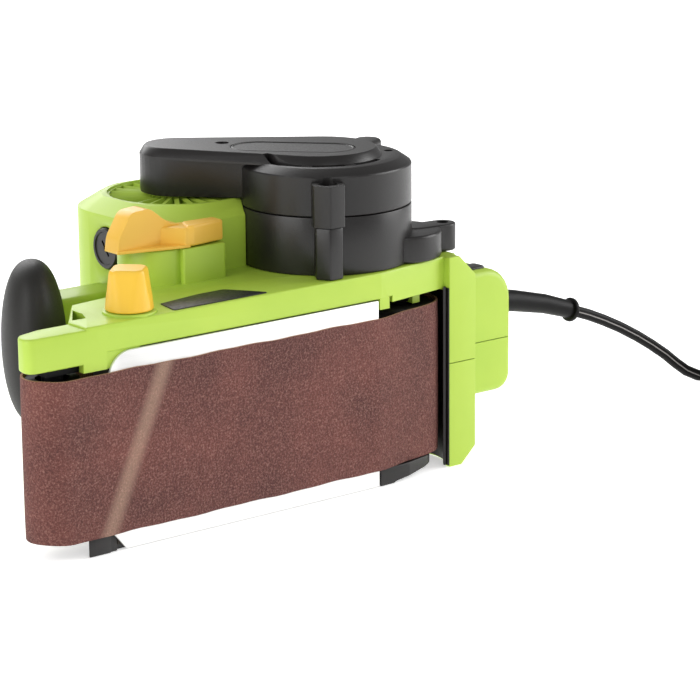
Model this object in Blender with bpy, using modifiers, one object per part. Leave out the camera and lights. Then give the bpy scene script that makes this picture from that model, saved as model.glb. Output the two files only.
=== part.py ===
"""Handheld belt sander, lying on its right side as it is put down on a bench.

+Z is the tool's left side (its drive cover), -Y is the sanding face, +X is the
rear (grip and cord) and -X the front. The floor is z = 0. Metres.
"""

import math

import bmesh
import bpy
from mathutils import Matrix, Vector

# ---- driving dimensions (metres) -------------------------------------------
MM = 0.001
GAP = 0.3 * MM                      # clearance between neighbouring solids
BELT_WIDTH = 76 * MM
BELT_THICK = 1.2 * MM
BELT_LOW = 9 * MM                   # belt edge nearest the floor
BELT_HIGH = BELT_LOW + BELT_WIDTH
SOLE_Y = -75 * MM                   # outer face of the belt under the platen
SEAM_Z = 53.3 * MM                  # joint of the two housing shells

IDLER_X, IDLER_Y, IDLER_R = -133 * MM, -60.5 * MM, 13.3 * MM
DRIVE_X, DRIVE_Y, DRIVE_R = 78.5 * MM, -48.2 * MM, 18.8 * MM
PLATEN_REAR_X = 44.7 * MM           # where the belt leaves the platen
RISE = math.radians(10.8)           # belt's climb from there to the rear roller

MOTOR_X, MOTOR_Y = -0.5 * MM, 26.5 * MM
MOTOR_HALF, MOTOR_CORNER = 43.7 * MM, 30 * MM
MOTOR_LOW, MOTOR_HIGH = 0.0, 139 * MM
BORE_R = 38 * MM                    # motor chamber

LAY_X, LAY_Y = 49.3 * MM, -28.8 * MM    # countershaft, middle of the round cover
PLATE_LOW, PLATE_HIGH = 93.9 * MM, 107 * MM
COVER_R, LOBE_R, NECK_R = 42 * MM, 21.7 * MM, 18 * MM
CASE_HIGH = 135.4 * MM              # seam between gear case and belt cover
COVER_HIGH, TIER_HIGH = 160 * MM, 164 * MM
WALL = 3 * MM
MOTOR_PULLEY_R, PULLEY_R = 8 * MM, 16 * MM

KNOB_X, KNOB_Y = -89.5 * MM, -59.5 * MM
LEVER_X, LEVER_Y, LEVER_LOW = -52 * MM, -15.5 * MM, 124.3 * MM
BRUSH_Z = 115.8 * MM

GRIP_X, GRIP_Y, GRIP_Z = -97 * MM, 10 * MM, 81 * MM

CORD_R = 3 * MM
COIL_X, COIL_Y, COIL_R, COIL_HALF = 343 * MM, -81 * MM, 34 * MM, 12 * MM
COIL_TALL = 24 * MM
CORD_ROUTE = (                      # hand-chosen, from strain relief to coil
    (0.2064, -0.0390, 0.0574),
    (0.2280, -0.0390, 0.0490),
    (0.2530, -0.0390, 0.0362),
    (0.2750, -0.0390, 0.0223),
    (0.2890, -0.0390, 0.0120),
    (0.3010, -0.0390, 0.0055),
    (0.3120, -0.0388, 0.0034),
    (0.3195, -0.0386, 0.0032),
)
TAIL_Y = COIL_Y + COIL_R            # last turn runs out to the plug
TAIL_START, TAIL_END = 378 * MM, 390 * MM
PLUG_LENGTH, PIN_LENGTH, PLUG_Z = 40 * MM, 19 * MM, 17.2 * MM


def collection(name, helper=False):
    """A collection linked to the scene; helpers stay out of the render."""
    made = bpy.data.collections.new(name)
    bpy.context.scene.collection.children.link(made)
    made.hide_render = helper
    return made


for old in list(bpy.data.objects):
    bpy.data.objects.remove(old, do_unlink=True)
PARTS = collection("belt_sander")
CUTTERS = collection("belt_sander_cutters", helper=True)


# ---- materials ---------------------------------------------------------------
def material(name, rgb, roughness, metallic=0.0):
    """A Principled material with one colour."""
    made = bpy.data.materials.new(name)
    made.use_nodes = True
    shader = made.node_tree.nodes["Principled BSDF"]
    shader.inputs["Base Color"].default_value = (*rgb, 1.0)
    shader.inputs["Roughness"].default_value = roughness
    shader.inputs["Metallic"].default_value = metallic
    made.diffuse_color = (*rgb, 1.0)
    return made


GREEN = material("green_abs", (0.42, 0.66, 0.07), 0.45)
BLACK = material("black_nylon", (0.035, 0.034, 0.036), 0.55)
RUBBER = material("black_rubber", (0.025, 0.025, 0.025), 0.75)
YELLOW = material("yellow_abs", (0.93, 0.58, 0.10), 0.4)
STEEL = material("steel", (0.62, 0.62, 0.63), 0.3, 1.0)
ALLOY = material("die_cast_aluminium", (0.55, 0.56, 0.57), 0.45, 1.0)
BRIGHT = material("platen_steel", (0.85, 0.85, 0.85), 0.25, 1.0)
COPPER = material("copper", (0.75, 0.36, 0.18), 0.35, 1.0)
CARBON = material("carbon", (0.03, 0.03, 0.03), 0.7)
GRIT = material("abrasive_cloth", (0.17, 0.06, 0.05), 0.95)
CORK = material("cork", (0.45, 0.28, 0.14), 0.9)


# ---- shape helpers -----------------------------------------------------------
def place(obj, finish, where=PARTS):
    """Links an object to its collection and gives it its material."""
    where.objects.link(obj)
    if finish:
        obj.data.materials.clear()
        obj.data.materials.append(finish)
    if where is CUTTERS:
        obj.hide_render = True
        obj.display_type = "WIRE"
    return obj


def arc(x, y, radius, start, end, steps):
    """Points on an arc, angles in degrees, both ends included."""
    turn = (end - start) / steps
    angles = [math.radians(start + turn * i) for i in range(steps + 1)]
    return [(x + radius * math.cos(a), y + radius * math.sin(a)) for a in angles]


def disc(x, y, radius, steps=32):
    """Points of a full circle."""
    return arc(x, y, radius, 0, 360, steps)[:-1]


def rounded_square(x, y, half, corner, steps=6):
    """Outline of a square with round corners."""
    flat = half - corner
    spots = ((flat, flat, 0), (-flat, flat, 90), (-flat, -flat, 180), (flat, -flat, 270))
    points = []
    for dx, dy, turn in spots:
        points += arc(x + dx, y + dy, corner, turn, turn + 90, steps)
    return points


def stadium(x0, y0, x1, y1, radius, steps=12):
    """Outline of a slot with round ends, from one centre to the other."""
    heading = math.degrees(math.atan2(y1 - y0, x1 - x0))
    near = arc(x0, y0, radius, heading + 90, heading + 270, steps)
    return near + arc(x1, y1, radius, heading - 90, heading + 90, steps)


def flat(name, loops, low, high, finish, where=PARTS, turn=None):
    """A flat outline (outer loop, then holes) as a 2D curve with thickness, made a mesh."""
    curve = bpy.data.curves.new(name, "CURVE")
    curve.dimensions = "2D"
    curve.fill_mode = "BOTH"
    curve.extrude = (high - low) / 2
    for loop in loops:
        spline = curve.splines.new("POLY")
        spline.points.add(len(loop) - 1)
        for point, (x, y) in zip(spline.points, loop):
            point.co = (x, y, 0, 1)
        spline.use_cyclic_u = True
    holder = bpy.data.objects.new(name + "_outline", curve)
    bpy.context.scene.collection.objects.link(holder)
    graph = bpy.context.evaluated_depsgraph_get()
    mesh = bpy.data.meshes.new_from_object(holder.evaluated_get(graph))
    bpy.data.objects.remove(holder, do_unlink=True)
    shape = bmesh.new()
    shape.from_mesh(mesh)
    bmesh.ops.remove_doubles(shape, verts=shape.verts, dist=1e-5)
    bmesh.ops.dissolve_limit(
        shape, angle_limit=0.01, verts=shape.verts, edges=shape.edges
    )
    bmesh.ops.translate(shape, verts=shape.verts, vec=(0, 0, (low + high) / 2))
    if turn:
        shape.transform(turn)
    bmesh.ops.recalc_face_normals(shape, faces=shape.faces)
    shape.to_mesh(mesh)
    shape.free()
    mesh.name = name
    return place(bpy.data.objects.new(name, mesh), finish, where)


def turned(name, profile, axis_xy, finish, where=PARTS, steps=32, turn=None):
    """A turned solid: (radius, z) points, top to bottom, spun round a vertical axis."""
    mesh = bpy.data.meshes.new(name)
    ring = profile[0] == profile[-1]
    points = [(radius, 0, z) for radius, z in (profile[:-1] if ring else profile)]
    edges = [(i, i + 1) for i in range(len(points) - 1)]
    mesh.from_pydata(points, edges + ([(len(points) - 1, 0)] if ring else []), [])
    obj = place(bpy.data.objects.new(name, mesh), finish, where)
    spin = obj.modifiers.new("Spin", "SCREW")
    spin.steps = spin.render_steps = steps
    spin.use_merge_vertices = True
    spin.merge_threshold = 1e-5
    spin.use_smooth_shade = False
    obj.location = (*axis_xy, 0)
    if turn:
        obj.matrix_world = turn
    return obj


def rod(name, x, y, low, high, radius, finish, bore=0.0, steps=24, where=PARTS):
    """A round bar, or a tube where it has a bore."""
    if not bore:
        profile = ((0, high), (radius, high), (radius, low), (0, low))
    else:
        profile = ((bore, high), (radius, high), (radius, low), (bore, low), (bore, high))
    return turned(name, profile, (x, y), finish, where, steps)


def box(name, low, high, finish, where=PARTS):
    """A block between two corners."""
    shape = bmesh.new()
    bmesh.ops.create_cube(shape, size=1)
    size = Vector(high) - Vector(low)
    bmesh.ops.scale(shape, vec=size, verts=shape.verts)
    bmesh.ops.translate(shape, vec=(Vector(high) + Vector(low)) / 2, verts=shape.verts)
    mesh = bpy.data.meshes.new(name)
    shape.to_mesh(mesh)
    shape.free()
    return place(bpy.data.objects.new(name, mesh), finish, where)


def combine(target, others, operation, solver="EXACT"):
    """Adds one Boolean modifier for each of the others, all with one solver."""
    for other in others:
        step = target.modifiers.new(other.name, "BOOLEAN")
        step.operation = operation
        step.object = other
        step.solver = solver
    return target


def halved(obj, seam, keep_above):
    """Cuts an object's mesh at a level and closes the cut."""
    shape = bmesh.new()
    shape.from_mesh(obj.data)
    cut = bmesh.ops.bisect_plane(
        shape, geom=shape.verts[:] + shape.edges[:] + shape.faces[:], dist=1e-6,
        plane_co=(0, 0, seam), plane_no=(0, 0, 1), clear_inner=keep_above,
        clear_outer=not keep_above,
    )
    edges = [part for part in cut["geom_cut"] if isinstance(part, bmesh.types.BMEdge)]
    bmesh.ops.edgenet_fill(shape, edges=edges)
    bmesh.ops.recalc_face_normals(shape, faces=shape.faces)
    shape.to_mesh(obj.data)
    shape.free()
    return obj


def soften(obj, width, segments=2, angle=40):
    """Rounds an object's sharp edges."""
    bevel = obj.modifiers.new("Edges", "BEVEL")
    bevel.width = width
    bevel.segments = segments
    bevel.limit_method = "ANGLE"
    bevel.angle_limit = math.radians(angle)
    return obj


def move_origin(obj, point):
    """Puts an object's origin on its joint's axis, its mesh staying where it is."""
    obj.data.transform(Matrix.Translation(-Vector(point)))
    obj.location = point
    return obj


def along_x(x, y, z):
    """Turns the vertical axis to +X and moves it to a point."""
    return Matrix.Translation((x, y, z)) @ Matrix.Rotation(math.radians(90), 4, "Y")


def smooth_route(points, step):
    """Points every step along a Catmull-Rom curve through a route's own points."""
    ends = [Vector(p) for p in points]
    ends = [2 * ends[0] - ends[1]] + ends + [2 * ends[-1] - ends[-2]]
    fine = []
    for a, b, c, d in zip(ends, ends[1:], ends[2:], ends[3:]):
        for i in range(20):
            t = i / 20
            fine.append(0.5 * (2 * b + (c - a) * t + (2 * a - 5 * b + 4 * c - d) * t * t
                               + (3 * b - a - 3 * c + d) * t ** 3))
    fine.append(ends[-2])
    kept = [fine[0]]
    for point in fine[1:-1]:
        if (point - kept[-1]).length >= step:
            kept.append(point)
    if (fine[-1] - kept[-1]).length < step / 2:
        kept.pop()
    return kept + [fine[-1]]


def tube(name, points, radius, finish):
    """A round cord as a bevelled poly curve with filled caps."""
    curve = bpy.data.curves.new(name, "CURVE")
    curve.dimensions = "3D"
    curve.bevel_depth = radius
    curve.bevel_resolution = 2
    curve.use_fill_caps = True
    spline = curve.splines.new("POLY")
    spline.points.add(len(points) - 1)
    for spot, point in zip(spline.points, points):
        spot.co = (*point, 1)
    return place(bpy.data.objects.new(name, curve), finish)


# ---- sanding belt, rollers and platen ------------------------------------------
def belt_loop(inset):
    """The belt's closed path round idler, platen and drive roller, moved inwards."""
    front = IDLER_R + BELT_THICK - inset
    rear = DRIVE_R + BELT_THICK - inset
    across, along = DRIVE_Y - IDLER_Y, DRIVE_X - IDLER_X
    back = math.atan2(across, along) + math.asin((rear - front) / math.hypot(across, along))
    back, rise = math.degrees(back), math.degrees(RISE)
    loop = arc(DRIVE_X, DRIVE_Y, rear, rise - 90, back + 90, 14)
    loop += arc(IDLER_X, IDLER_Y, front, back + 90, 270, 12)
    loop.append((PLATEN_REAR_X, SOLE_Y + inset))
    return loop


def sanding_belt():
    loops = [belt_loop(0), belt_loop(BELT_THICK - GAP)]
    flat("sanding_belt", loops, BELT_LOW, BELT_HIGH, GRIT)


def roller(name, x, y, radius, bore, finish):
    """A crowned roller with its bore."""
    low, high = BELT_LOW + 1 * MM, BELT_HIGH - 1 * MM
    lip = radius - 1 * MM
    profile = ((bore, high), (lip, high), (radius, high - 1.5 * MM), (radius, low + 1.5 * MM),
               (lip, low), (bore, low), (bore, high))
    turned(name, profile, (x, y), finish)


def rollers():
    roller("front_idler_roller", IDLER_X, IDLER_Y, IDLER_R - GAP, 5.3 * MM, ALLOY)
    roller("rear_drive_roller", DRIVE_X, DRIVE_Y, DRIVE_R - GAP, 6.3 * MM, RUBBER)
    rod("idler_axle", IDLER_X, IDLER_Y, 9 * MM, 97.5 * MM, 5 * MM, STEEL)
    rod("drive_shaft", DRIVE_X, DRIVE_Y, 8 * MM, 119 * MM, 6 * MM, STEEL)
    rod("drive_roller_bearing", DRIVE_X, DRIVE_Y, 95 * MM, 104 * MM, 12 * MM, STEEL, 6.3 * MM)


def platen():
    rear = PLATEN_REAR_X + 1 * MM
    front, corner = -111 * MM, 12 * MM
    low, high = 0.8 * MM, 93.6 * MM
    lower = [(rear, low), (rear, high)]
    upper = arc(front + corner, high - corner, corner, 90, 180, 6)
    loop = lower + upper + [(front, low + 8 * MM), (front + 7 * MM, low)]
    stand = Matrix.Rotation(math.radians(90), 4, "X")
    flat("platen_plate", [loop], 73.7 * MM - 1.5 * MM, 73.7 * MM, BRIGHT, turn=stand)
    box("platen_pad", (-108 * MM, -71.9 * MM, 3 * MM), (42 * MM, -70.6 * MM, 91 * MM), CORK)
    frame = box("base_frame", (-108 * MM, -70.3 * MM, 9.2 * MM), (44 * MM, -56 * MM, 92 * MM), ALLOY)
    pocket = box("frame_pocket", (-93 * MM, -66 * MM, 20 * MM), (30 * MM, -50 * MM, 80 * MM),
                 None, CUTTERS)
    slide = box("frame_slide", (-110 * MM, -69 * MM, 84.5 * MM), (-60 * MM, -50 * MM, 94 * MM),
                None, CUTTERS)
    combine(frame, [pocket, slide], "DIFFERENCE")


def side_rail():
    """Black rail below the belt's lower edge, with a cut nose and a round tail."""
    loop = [(-124.5 * MM, -72.9 * MM), (75 * MM, -72.9 * MM)]
    loop += arc(71 * MM, -64 * MM, 8 * MM, -50, 90, 5)
    loop += [(-110 * MM, -56 * MM), (-124.5 * MM, -62 * MM)]
    rail = flat("side_rail", [loop], 0, 8.7 * MM, BLACK)
    clear = box("rail_step", (-112.5 * MM, -76 * MM, -1 * MM), (50 * MM, -70.3 * MM, 12 * MM),
                None, CUTTERS)
    combine(rail, [clear], "DIFFERENCE")


def front_yoke():
    """Slide that carries the idler axle, and the spring that pushes it forward."""
    yoke = box("tension_yoke", (-141 * MM, -68 * MM, 86.3 * MM), (-101 * MM, -53 * MM, 89.7 * MM),
               STEEL)
    hole = rod("yoke_hole", IDLER_X, IDLER_Y, 80 * MM, 95 * MM, 5.3 * MM, None, where=CUTTERS)
    combine(yoke, [hole], "DIFFERENCE")
    ring = ((2 * MM, 15 * MM), (3.3 * MM, 15 * MM), (3.3 * MM, -15 * MM), (2 * MM, -15 * MM),
            (2 * MM, 15 * MM))
    turned("tension_spring", ring, (0, 0), STEEL, steps=16,
           turn=along_x(-76 * MM, -60.5 * MM, 88 * MM))


# ---- housing -------------------------------------------------------------------
def motor_shell(name, low, high, tip):
    """Length of the motor housing, its outer end chamfered towards the tip height."""
    body = flat(name, [rounded_square(MOTOR_X, MOTOR_Y, MOTOR_HALF, MOTOR_CORNER)], low, high,
                None, CUTTERS)
    shape = bmesh.new()
    shape.from_mesh(body.data)
    end = [f for f in shape.faces if abs(f.calc_center_median().z - tip) < 1e-4]
    rim = [e for f in end for e in f.edges]
    bmesh.ops.bevel(shape, geom=rim, offset=7.5 * MM, segments=1, affect="EDGES")
    shape.to_mesh(body.data)
    shape.free()
    return body


def handle_loops():
    """Outline of the rear D handle and of the finger opening inside it."""
    outer = [(35 * MM, 62 * MM), (42 * MM, 30 * MM), (100 * MM, -21 * MM), (102 * MM, -46 * MM)]
    outer += arc(146 * MM, -38 * MM, 8 * MM, -90, 0, 5)
    outer += [(154 * MM, 10 * MM)]
    outer += arc(126 * MM, 34 * MM, 28 * MM, 0, 62, 5)
    outer += arc(80 * MM, 57 * MM, 18 * MM, 70, 100, 3)
    hole = arc(68 * MM, 38 * MM, 8 * MM, 80, 200, 5)
    hole += arc(104 * MM, -6 * MM, 8 * MM, 215, 290, 4)
    hole += arc(121 * MM, -4 * MM, 9 * MM, -75, 0, 4)
    hole += arc(112 * MM, 22 * MM, 18 * MM, 0, 65, 4)
    return outer, hole


def plate_outline():
    """Side plate that carries gear case, lever and knob."""
    recede = math.tan(RISE)
    rear_y = -72.8 * MM + (103 - 48) * MM * recede
    loop = [(-122 * MM, -72.8 * MM), (48 * MM, -72.8 * MM), (103 * MM, rear_y)]
    loop += [(103 * MM, -20 * MM), (70 * MM, 30 * MM), (20 * MM, 40 * MM), (-40 * MM, 35 * MM)]
    loop += [(-72 * MM, 2 * MM), (-102 * MM, -31 * MM), (-122 * MM, -58 * MM)]
    return loop


def arm_outline():
    """Front arm beside the idler roller."""
    loop = arc(-148.5 * MM, -66.5 * MM, 5 * MM, 120, 250, 5)
    return loop + [(-140 * MM, -72.6 * MM), (-118 * MM, -72.9 * MM), (-118 * MM, -57 * MM)]


def post_outline(low, high, cut):
    """Rear post seen from the sanding face, one outer corner cut off, as (x, z)."""
    left, right = 94.5 * MM, 111.6 * MM
    if cut > 0:
        return [(left, low), (right, low), (right, high - cut), (right - cut, high), (left, high)]
    return [(left, low), (right + cut, low), (right, low - cut), (right, high), (left, high)]


def upright(name, outline, front, back, where=CUTTERS):
    """A flat outline in the XZ plane with thickness from front to back along +Y."""
    stand = Matrix.Rotation(math.radians(90), 4, "X")
    return flat(name, [outline], -back, -front, None, where, stand)


def belly_outline():
    """Floor of the housing between the belt's return run and the motor."""
    return [(-100 * MM, -35 * MM), (95 * MM, -20 * MM), (111.6 * MM, -20 * MM),
            (111.6 * MM, -16 * MM), (95 * MM, -12 * MM), (60 * MM, 12 * MM), (30 * MM, 15 * MM),
            (-72 * MM, 0)]


def grip_base(name):
    """Rounded foot of the rear grip, where the cord comes out."""
    foot = box(name, (100 * MM, -46 * MM, 25.5 * MM), (153.8 * MM, -18 * MM, 90.5 * MM), None, CUTTERS)
    shape = bmesh.new()
    shape.from_mesh(foot.data)
    bmesh.ops.bevel(shape, geom=shape.edges[:], offset=9 * MM, segments=3, profile=0.5, affect="EDGES")
    shape.to_mesh(foot.data)
    shape.free()
    return foot


def left_housing():
    """Left shell: side plate, front arm, lever block, motor chamber, post and grip half."""
    low = SEAM_Z + GAP / 2
    shell = flat("left_housing", [plate_outline()], PLATE_LOW, PLATE_HIGH, GREEN)
    outer, hole = handle_loops()
    block = disc(-42 * MM, -11 * MM, 17 * MM, 40)
    adds = [
        flat("arm", [arm_outline()], 90 * MM, 106 * MM, None, CUTTERS),
        box("skirt", (-124 * MM, -71.2 * MM, 86.4 * MM), (-108.4 * MM, -62 * MM, 95 * MM), None, CUTTERS),
        motor_shell("motor_left", low, MOTOR_HIGH, MOTOR_HIGH),
        flat("belly_left", [belly_outline()], low, PLATE_LOW + 1 * MM, None, CUTTERS),
        flat("lever_block", [block], PLATE_LOW, 124 * MM, None, CUTTERS),
        box("lever_shoulder", (-36 * MM, -31 * MM, PLATE_LOW), (-12.5 * MM, -5 * MM, 124 * MM), None,
            CUTTERS),
        upright("post_left", post_outline(low, PLATE_HIGH, 10.5 * MM), -69 * MM, -15 * MM),
        flat("grip_left", [outer, hole], low, 71 * MM, None, CUTTERS),
        halved(grip_base("grip_base_left"), low, True),
        box("knob_seat", (-99 * MM, -69 * MM, PLATE_LOW), (-80 * MM, -50 * MM, 108 * MM), None, CUTTERS),
    ]
    combine(shell, adds, "UNION", "MANIFOLD")
    cuts = housing_cuts(low - 1 * MM, 133 * MM)
    cuts += [
        rod("shaft_way", DRIVE_X, DRIVE_Y, 90 * MM, 112 * MM, 12.3 * MM, None, where=CUTTERS),
        rod("lay_way", LAY_X, LAY_Y, 101 * MM, 112 * MM, 8.3 * MM, None, where=CUTTERS),
        flat("axle_slot", [stadium(IDLER_X, IDLER_Y, IDLER_X + 7 * MM, IDLER_Y, 6 * MM)], 85 * MM, 98 * MM,
             None, CUTTERS),
        rod("motor_shaft_way", MOTOR_X, MOTOR_Y, 120 * MM, 145 * MM, 11.3 * MM, None, where=CUTTERS),
        rod("knob_way", KNOB_X, KNOB_Y, 80 * MM, 112 * MM, 3.3 * MM, None, where=CUTTERS),
        box("yoke_room", (-142 * MM, -69 * MM, 85 * MM), (-60 * MM, -52 * MM, 90 * MM), None, CUTTERS),
        box("lever_way", (LEVER_X - 4.3 * MM, LEVER_Y - 4.3 * MM, 100 * MM),
            (LEVER_X + 4.3 * MM, LEVER_Y + 4.3 * MM, 126 * MM), None, CUTTERS),
    ]
    cuts += [
        flat("case_room", [disc(LAY_X, LAY_Y, COVER_R + GAP, 40)], PLATE_HIGH, 150 * MM, None, CUTTERS),
        box("neck_room_green", (-95.3 * MM, 8.7 * MM, 61.7 * MM), (-44.2 * MM, 31.3 * MM, 99.3 * MM),
            None, CUTTERS),
        rod("button_way", 80 * MM, 57 * MM, 60 * MM, 80 * MM, 5.3 * MM, None, steps=20, where=CUTTERS),
    ]
    cuts.append(brush_way("brush_way_front", -1))
    cuts.append(brush_way("brush_way_rear", 1))
    cuts += vent_slots()
    combine(shell, cuts, "DIFFERENCE", "MANIFOLD")


def right_housing():
    """Right shell: the floor-side half of motor chamber, post and grip."""
    high = SEAM_Z - GAP / 2
    outer, hole = handle_loops()
    shell = motor_shell("motor_right", MOTOR_LOW, high, MOTOR_LOW)
    shell.name = "right_housing"
    CUTTERS.objects.unlink(shell)
    place(shell, GREEN)
    shell.hide_render = False
    shell.display_type = "TEXTURED"
    adds = [
        flat("belly_right", [belly_outline()], 3 * MM, high, None, CUTTERS),
        upright("post_right", post_outline(0, high, -8.5 * MM), -69 * MM, -15 * MM),
        flat("grip_right", [outer, hole], 35.5 * MM, high, None, CUTTERS),
        halved(grip_base("grip_base_right"), high, False),
        box("dust_duct", (60 * MM, -18 * MM, 3 * MM), (111.7 * MM, 12 * MM, 31 * MM), None, CUTTERS),
    ]
    combine(shell, adds, "UNION", "MANIFOLD")
    cuts = housing_cuts(13 * MM, high + 1 * MM)
    cuts.append(box("dust_way", (85 * MM, -10 * MM, 12 * MM), (113 * MM, -4 * MM, 24 * MM), None, CUTTERS))
    combine(shell, cuts, "DIFFERENCE", "MANIFOLD")


def housing_cuts(low, high):
    """Motor chamber, clearance round the belt and the room for switch and trigger."""
    stem = "left" if high > SEAM_Z * 2 else "right"
    return [
        rod("chamber_" + stem, MOTOR_X, MOTOR_Y, low, high, BORE_R, None, steps=32, where=CUTTERS),
        rod("roller_room_" + stem, DRIVE_X, DRIVE_Y, -5 * MM, 92.5 * MM, 24 * MM, None, where=CUTTERS),
        box("switch_room_" + stem, (66 * MM, 48.5 * MM, 42 * MM), (98 * MM, 66 * MM, 66 * MM), None, CUTTERS),
        box("trigger_room_" + stem, (74 * MM, 34 * MM, 47 * MM), (98 * MM, 52.2 * MM, 60 * MM), None, CUTTERS),
    ]


def brush_way(name, side):
    """Bore for a brush holder, along X from the motor chamber outwards."""
    reach = ((0, 20 * MM), (9.3 * MM, 20 * MM), (9.3 * MM, -20 * MM), (0, -20 * MM))
    return turned(name, reach, (0, 0), None, CUTTERS, 20,
                  along_x(MOTOR_X + side * 45 * MM, MOTOR_Y, BRUSH_Z))


def vent_slots():
    """Radial cooling slots in the motor housing's left end."""
    slots = []
    for i in range(12):
        spin = Matrix.Translation((MOTOR_X, MOTOR_Y, 0)) @ Matrix.Rotation(math.radians(30 * i + 15), 4, "Z")
        slot = box(f"vent_{i}", (20 * MM, -2.2 * MM, 131 * MM), (33 * MM, 2.2 * MM, 141 * MM), None, CUTTERS)
        slot.data.transform(spin)
        slots.append(slot)
    return slots


# ---- motor ---------------------------------------------------------------------
def motor():
    rod("stator", MOTOR_X, MOTOR_Y, 38 * MM, 84 * MM, 36 * MM, STEEL, 27.5 * MM, 32)
    rod("armature_core", MOTOR_X, MOTOR_Y, 40 * MM, 82 * MM, 26.5 * MM, STEEL, 5.3 * MM, 32)
    rod("armature_shaft", MOTOR_X, MOTOR_Y, 14 * MM, 155 * MM, 5 * MM, STEEL)
    rod("commutator", MOTOR_X, MOTOR_Y, 104 * MM, 126 * MM, 13 * MM, COPPER, 5.3 * MM, 32)
    rod("cooling_fan", MOTOR_X, MOTOR_Y, 22 * MM, 34 * MM, 34 * MM, BLACK, 5.3 * MM, 32)
    rod("motor_bearing_right", MOTOR_X, MOTOR_Y, 13.3 * MM, 20 * MM, 11 * MM, STEEL, 5.3 * MM)
    rod("motor_bearing_left", MOTOR_X, MOTOR_Y, 128 * MM, 138 * MM, 11 * MM, STEEL, 5.3 * MM)
    for word, side in (("front", -1), ("rear", 1)):
        edges = sorted((MOTOR_X + side * 13.4 * MM, MOTOR_X + side * 30 * MM))
        box("carbon_brush_" + word, (edges[0], MOTOR_Y - 4 * MM, BRUSH_Z - 3 * MM),
            (edges[1], MOTOR_Y + 4 * MM, BRUSH_Z + 3 * MM), CARBON)
        ends = ((0, 6.5 * MM), (9 * MM, 6.5 * MM), (9 * MM, -6.5 * MM), (0, -6.5 * MM))
        cap = turned("brush_cap_" + word, ends, (0, 0), BLACK, steps=20,
                     turn=along_x(MOTOR_X + side * 38 * MM, MOTOR_Y, BRUSH_Z))
        slot = box("cap_slot_" + word, (-4 * MM, -1 * MM, -8 * MM), (4 * MM, 1 * MM, 8 * MM), None, CUTTERS)
        slot.data.transform(along_x(MOTOR_X + side * 38 * MM, MOTOR_Y, BRUSH_Z)
                            @ Matrix.Translation((0, 0, side * 13 * MM)))
        combine(cap, [slot], "DIFFERENCE")


# ---- drive train and its covers --------------------------------------------------
def gear(name, x, y, low, high, radius, teeth, bore, finish):
    """A spur gear with straight-sided teeth."""
    deep = 1.6 * MM
    loop = []
    for i in range(teeth):
        for part, size in ((0.0, radius), (0.35, radius), (0.55, radius - deep), (0.8, radius - deep)):
            angle = 2 * math.pi * (i + part) / teeth
            loop.append((x + size * math.cos(angle), y + size * math.sin(angle)))
    return flat(name, [loop, disc(x, y, bore, 16)], low, high, finish)


def drive_train():
    rod("countershaft", LAY_X, LAY_Y, 101.3 * MM, 155 * MM, 5 * MM, STEEL)
    rod("countershaft_bearing", LAY_X, LAY_Y, 101.3 * MM, 106 * MM, 8 * MM, STEEL, 5.3 * MM)
    gear("pinion_gear", LAY_X, LAY_Y, 111.5 * MM, 118 * MM, 14.8 * MM, 18, 5.3 * MM, STEEL)
    gear("drive_gear", DRIVE_X, DRIVE_Y, 111.5 * MM, 118 * MM, 18.4 * MM, 23, 6.3 * MM, STEEL)
    rod("motor_pulley", MOTOR_X, MOTOR_Y, 145.5 * MM, 155 * MM, MOTOR_PULLEY_R, ALLOY, 5.3 * MM)
    rod("large_pulley", LAY_X, LAY_Y, 145.5 * MM, 155 * MM, PULLEY_R, ALLOY, 5.3 * MM)
    loops = [tangent_loop(PULLEY_R + 2.3 * MM, MOTOR_PULLEY_R + 2.3 * MM),
             tangent_loop(PULLEY_R + GAP, MOTOR_PULLEY_R + GAP)]
    flat("timing_belt", loops, 146.5 * MM, 154 * MM, RUBBER)


def tangent_loop(big, small):
    """Loop round the large pulley and the motor pulley."""
    dx, dy = LAY_X - MOTOR_X, LAY_Y - MOTOR_Y
    heading = math.degrees(math.atan2(dy, dx))
    lean = math.degrees(math.asin((big - small) / math.hypot(dx, dy)))
    loop = arc(LAY_X, LAY_Y, big, heading - 90 - lean, heading + 90 + lean, 16)
    return loop + arc(MOTOR_X, MOTOR_Y, small, heading + 90 + lean, heading + 270 - lean, 10)


def gear_case():
    """Lower half of the black drive cover: gear chamber, rear lobe, ears and screw post."""
    low = PLATE_HIGH + GAP
    case = flat("gear_case", [disc(LAY_X, LAY_Y, COVER_R, 40)], low, CASE_HIGH, BLACK)
    adds = [
        rod("lobe", DRIVE_X, DRIVE_Y, low, 120.5 * MM, LOBE_R, None, where=CUTTERS),
        rod("ear", 104.5 * MM, -52 * MM, low, 121 * MM, 6.5 * MM, None, steps=16, where=CUTTERS),
        box("ear_web", (85 * MM, -58 * MM, low), (104.5 * MM, -46 * MM, 121 * MM), None, CUTTERS),
        rod("post_low", 22 * MM, -64.5 * MM, low, CASE_HIGH, 7 * MM, None, steps=8, where=CUTTERS),
    ]
    combine(case, adds, "UNION", "MANIFOLD")
    cuts = [
        rod("gear_room", LAY_X, LAY_Y, low + 2.7 * MM, 140 * MM, COVER_R - WALL, None, steps=32, where=CUTTERS),
        rod("lobe_room", DRIVE_X, DRIVE_Y, low + 2.7 * MM, 118.4 * MM, LOBE_R - 2.4 * MM, None, where=CUTTERS),
        rod("case_drive_hole", DRIVE_X, DRIVE_Y, 100 * MM, 119.3 * MM, 6.5 * MM, None, where=CUTTERS),
        rod("case_lay_hole", LAY_X, LAY_Y, 100 * MM, 115 * MM, 5.5 * MM, None, where=CUTTERS),
        rod("ear_hole", 104.5 * MM, -52 * MM, 112 * MM, 125 * MM, 2.4 * MM, None, steps=16, where=CUTTERS),
    ]
    combine(case, cuts, "DIFFERENCE", "MANIFOLD")


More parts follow.
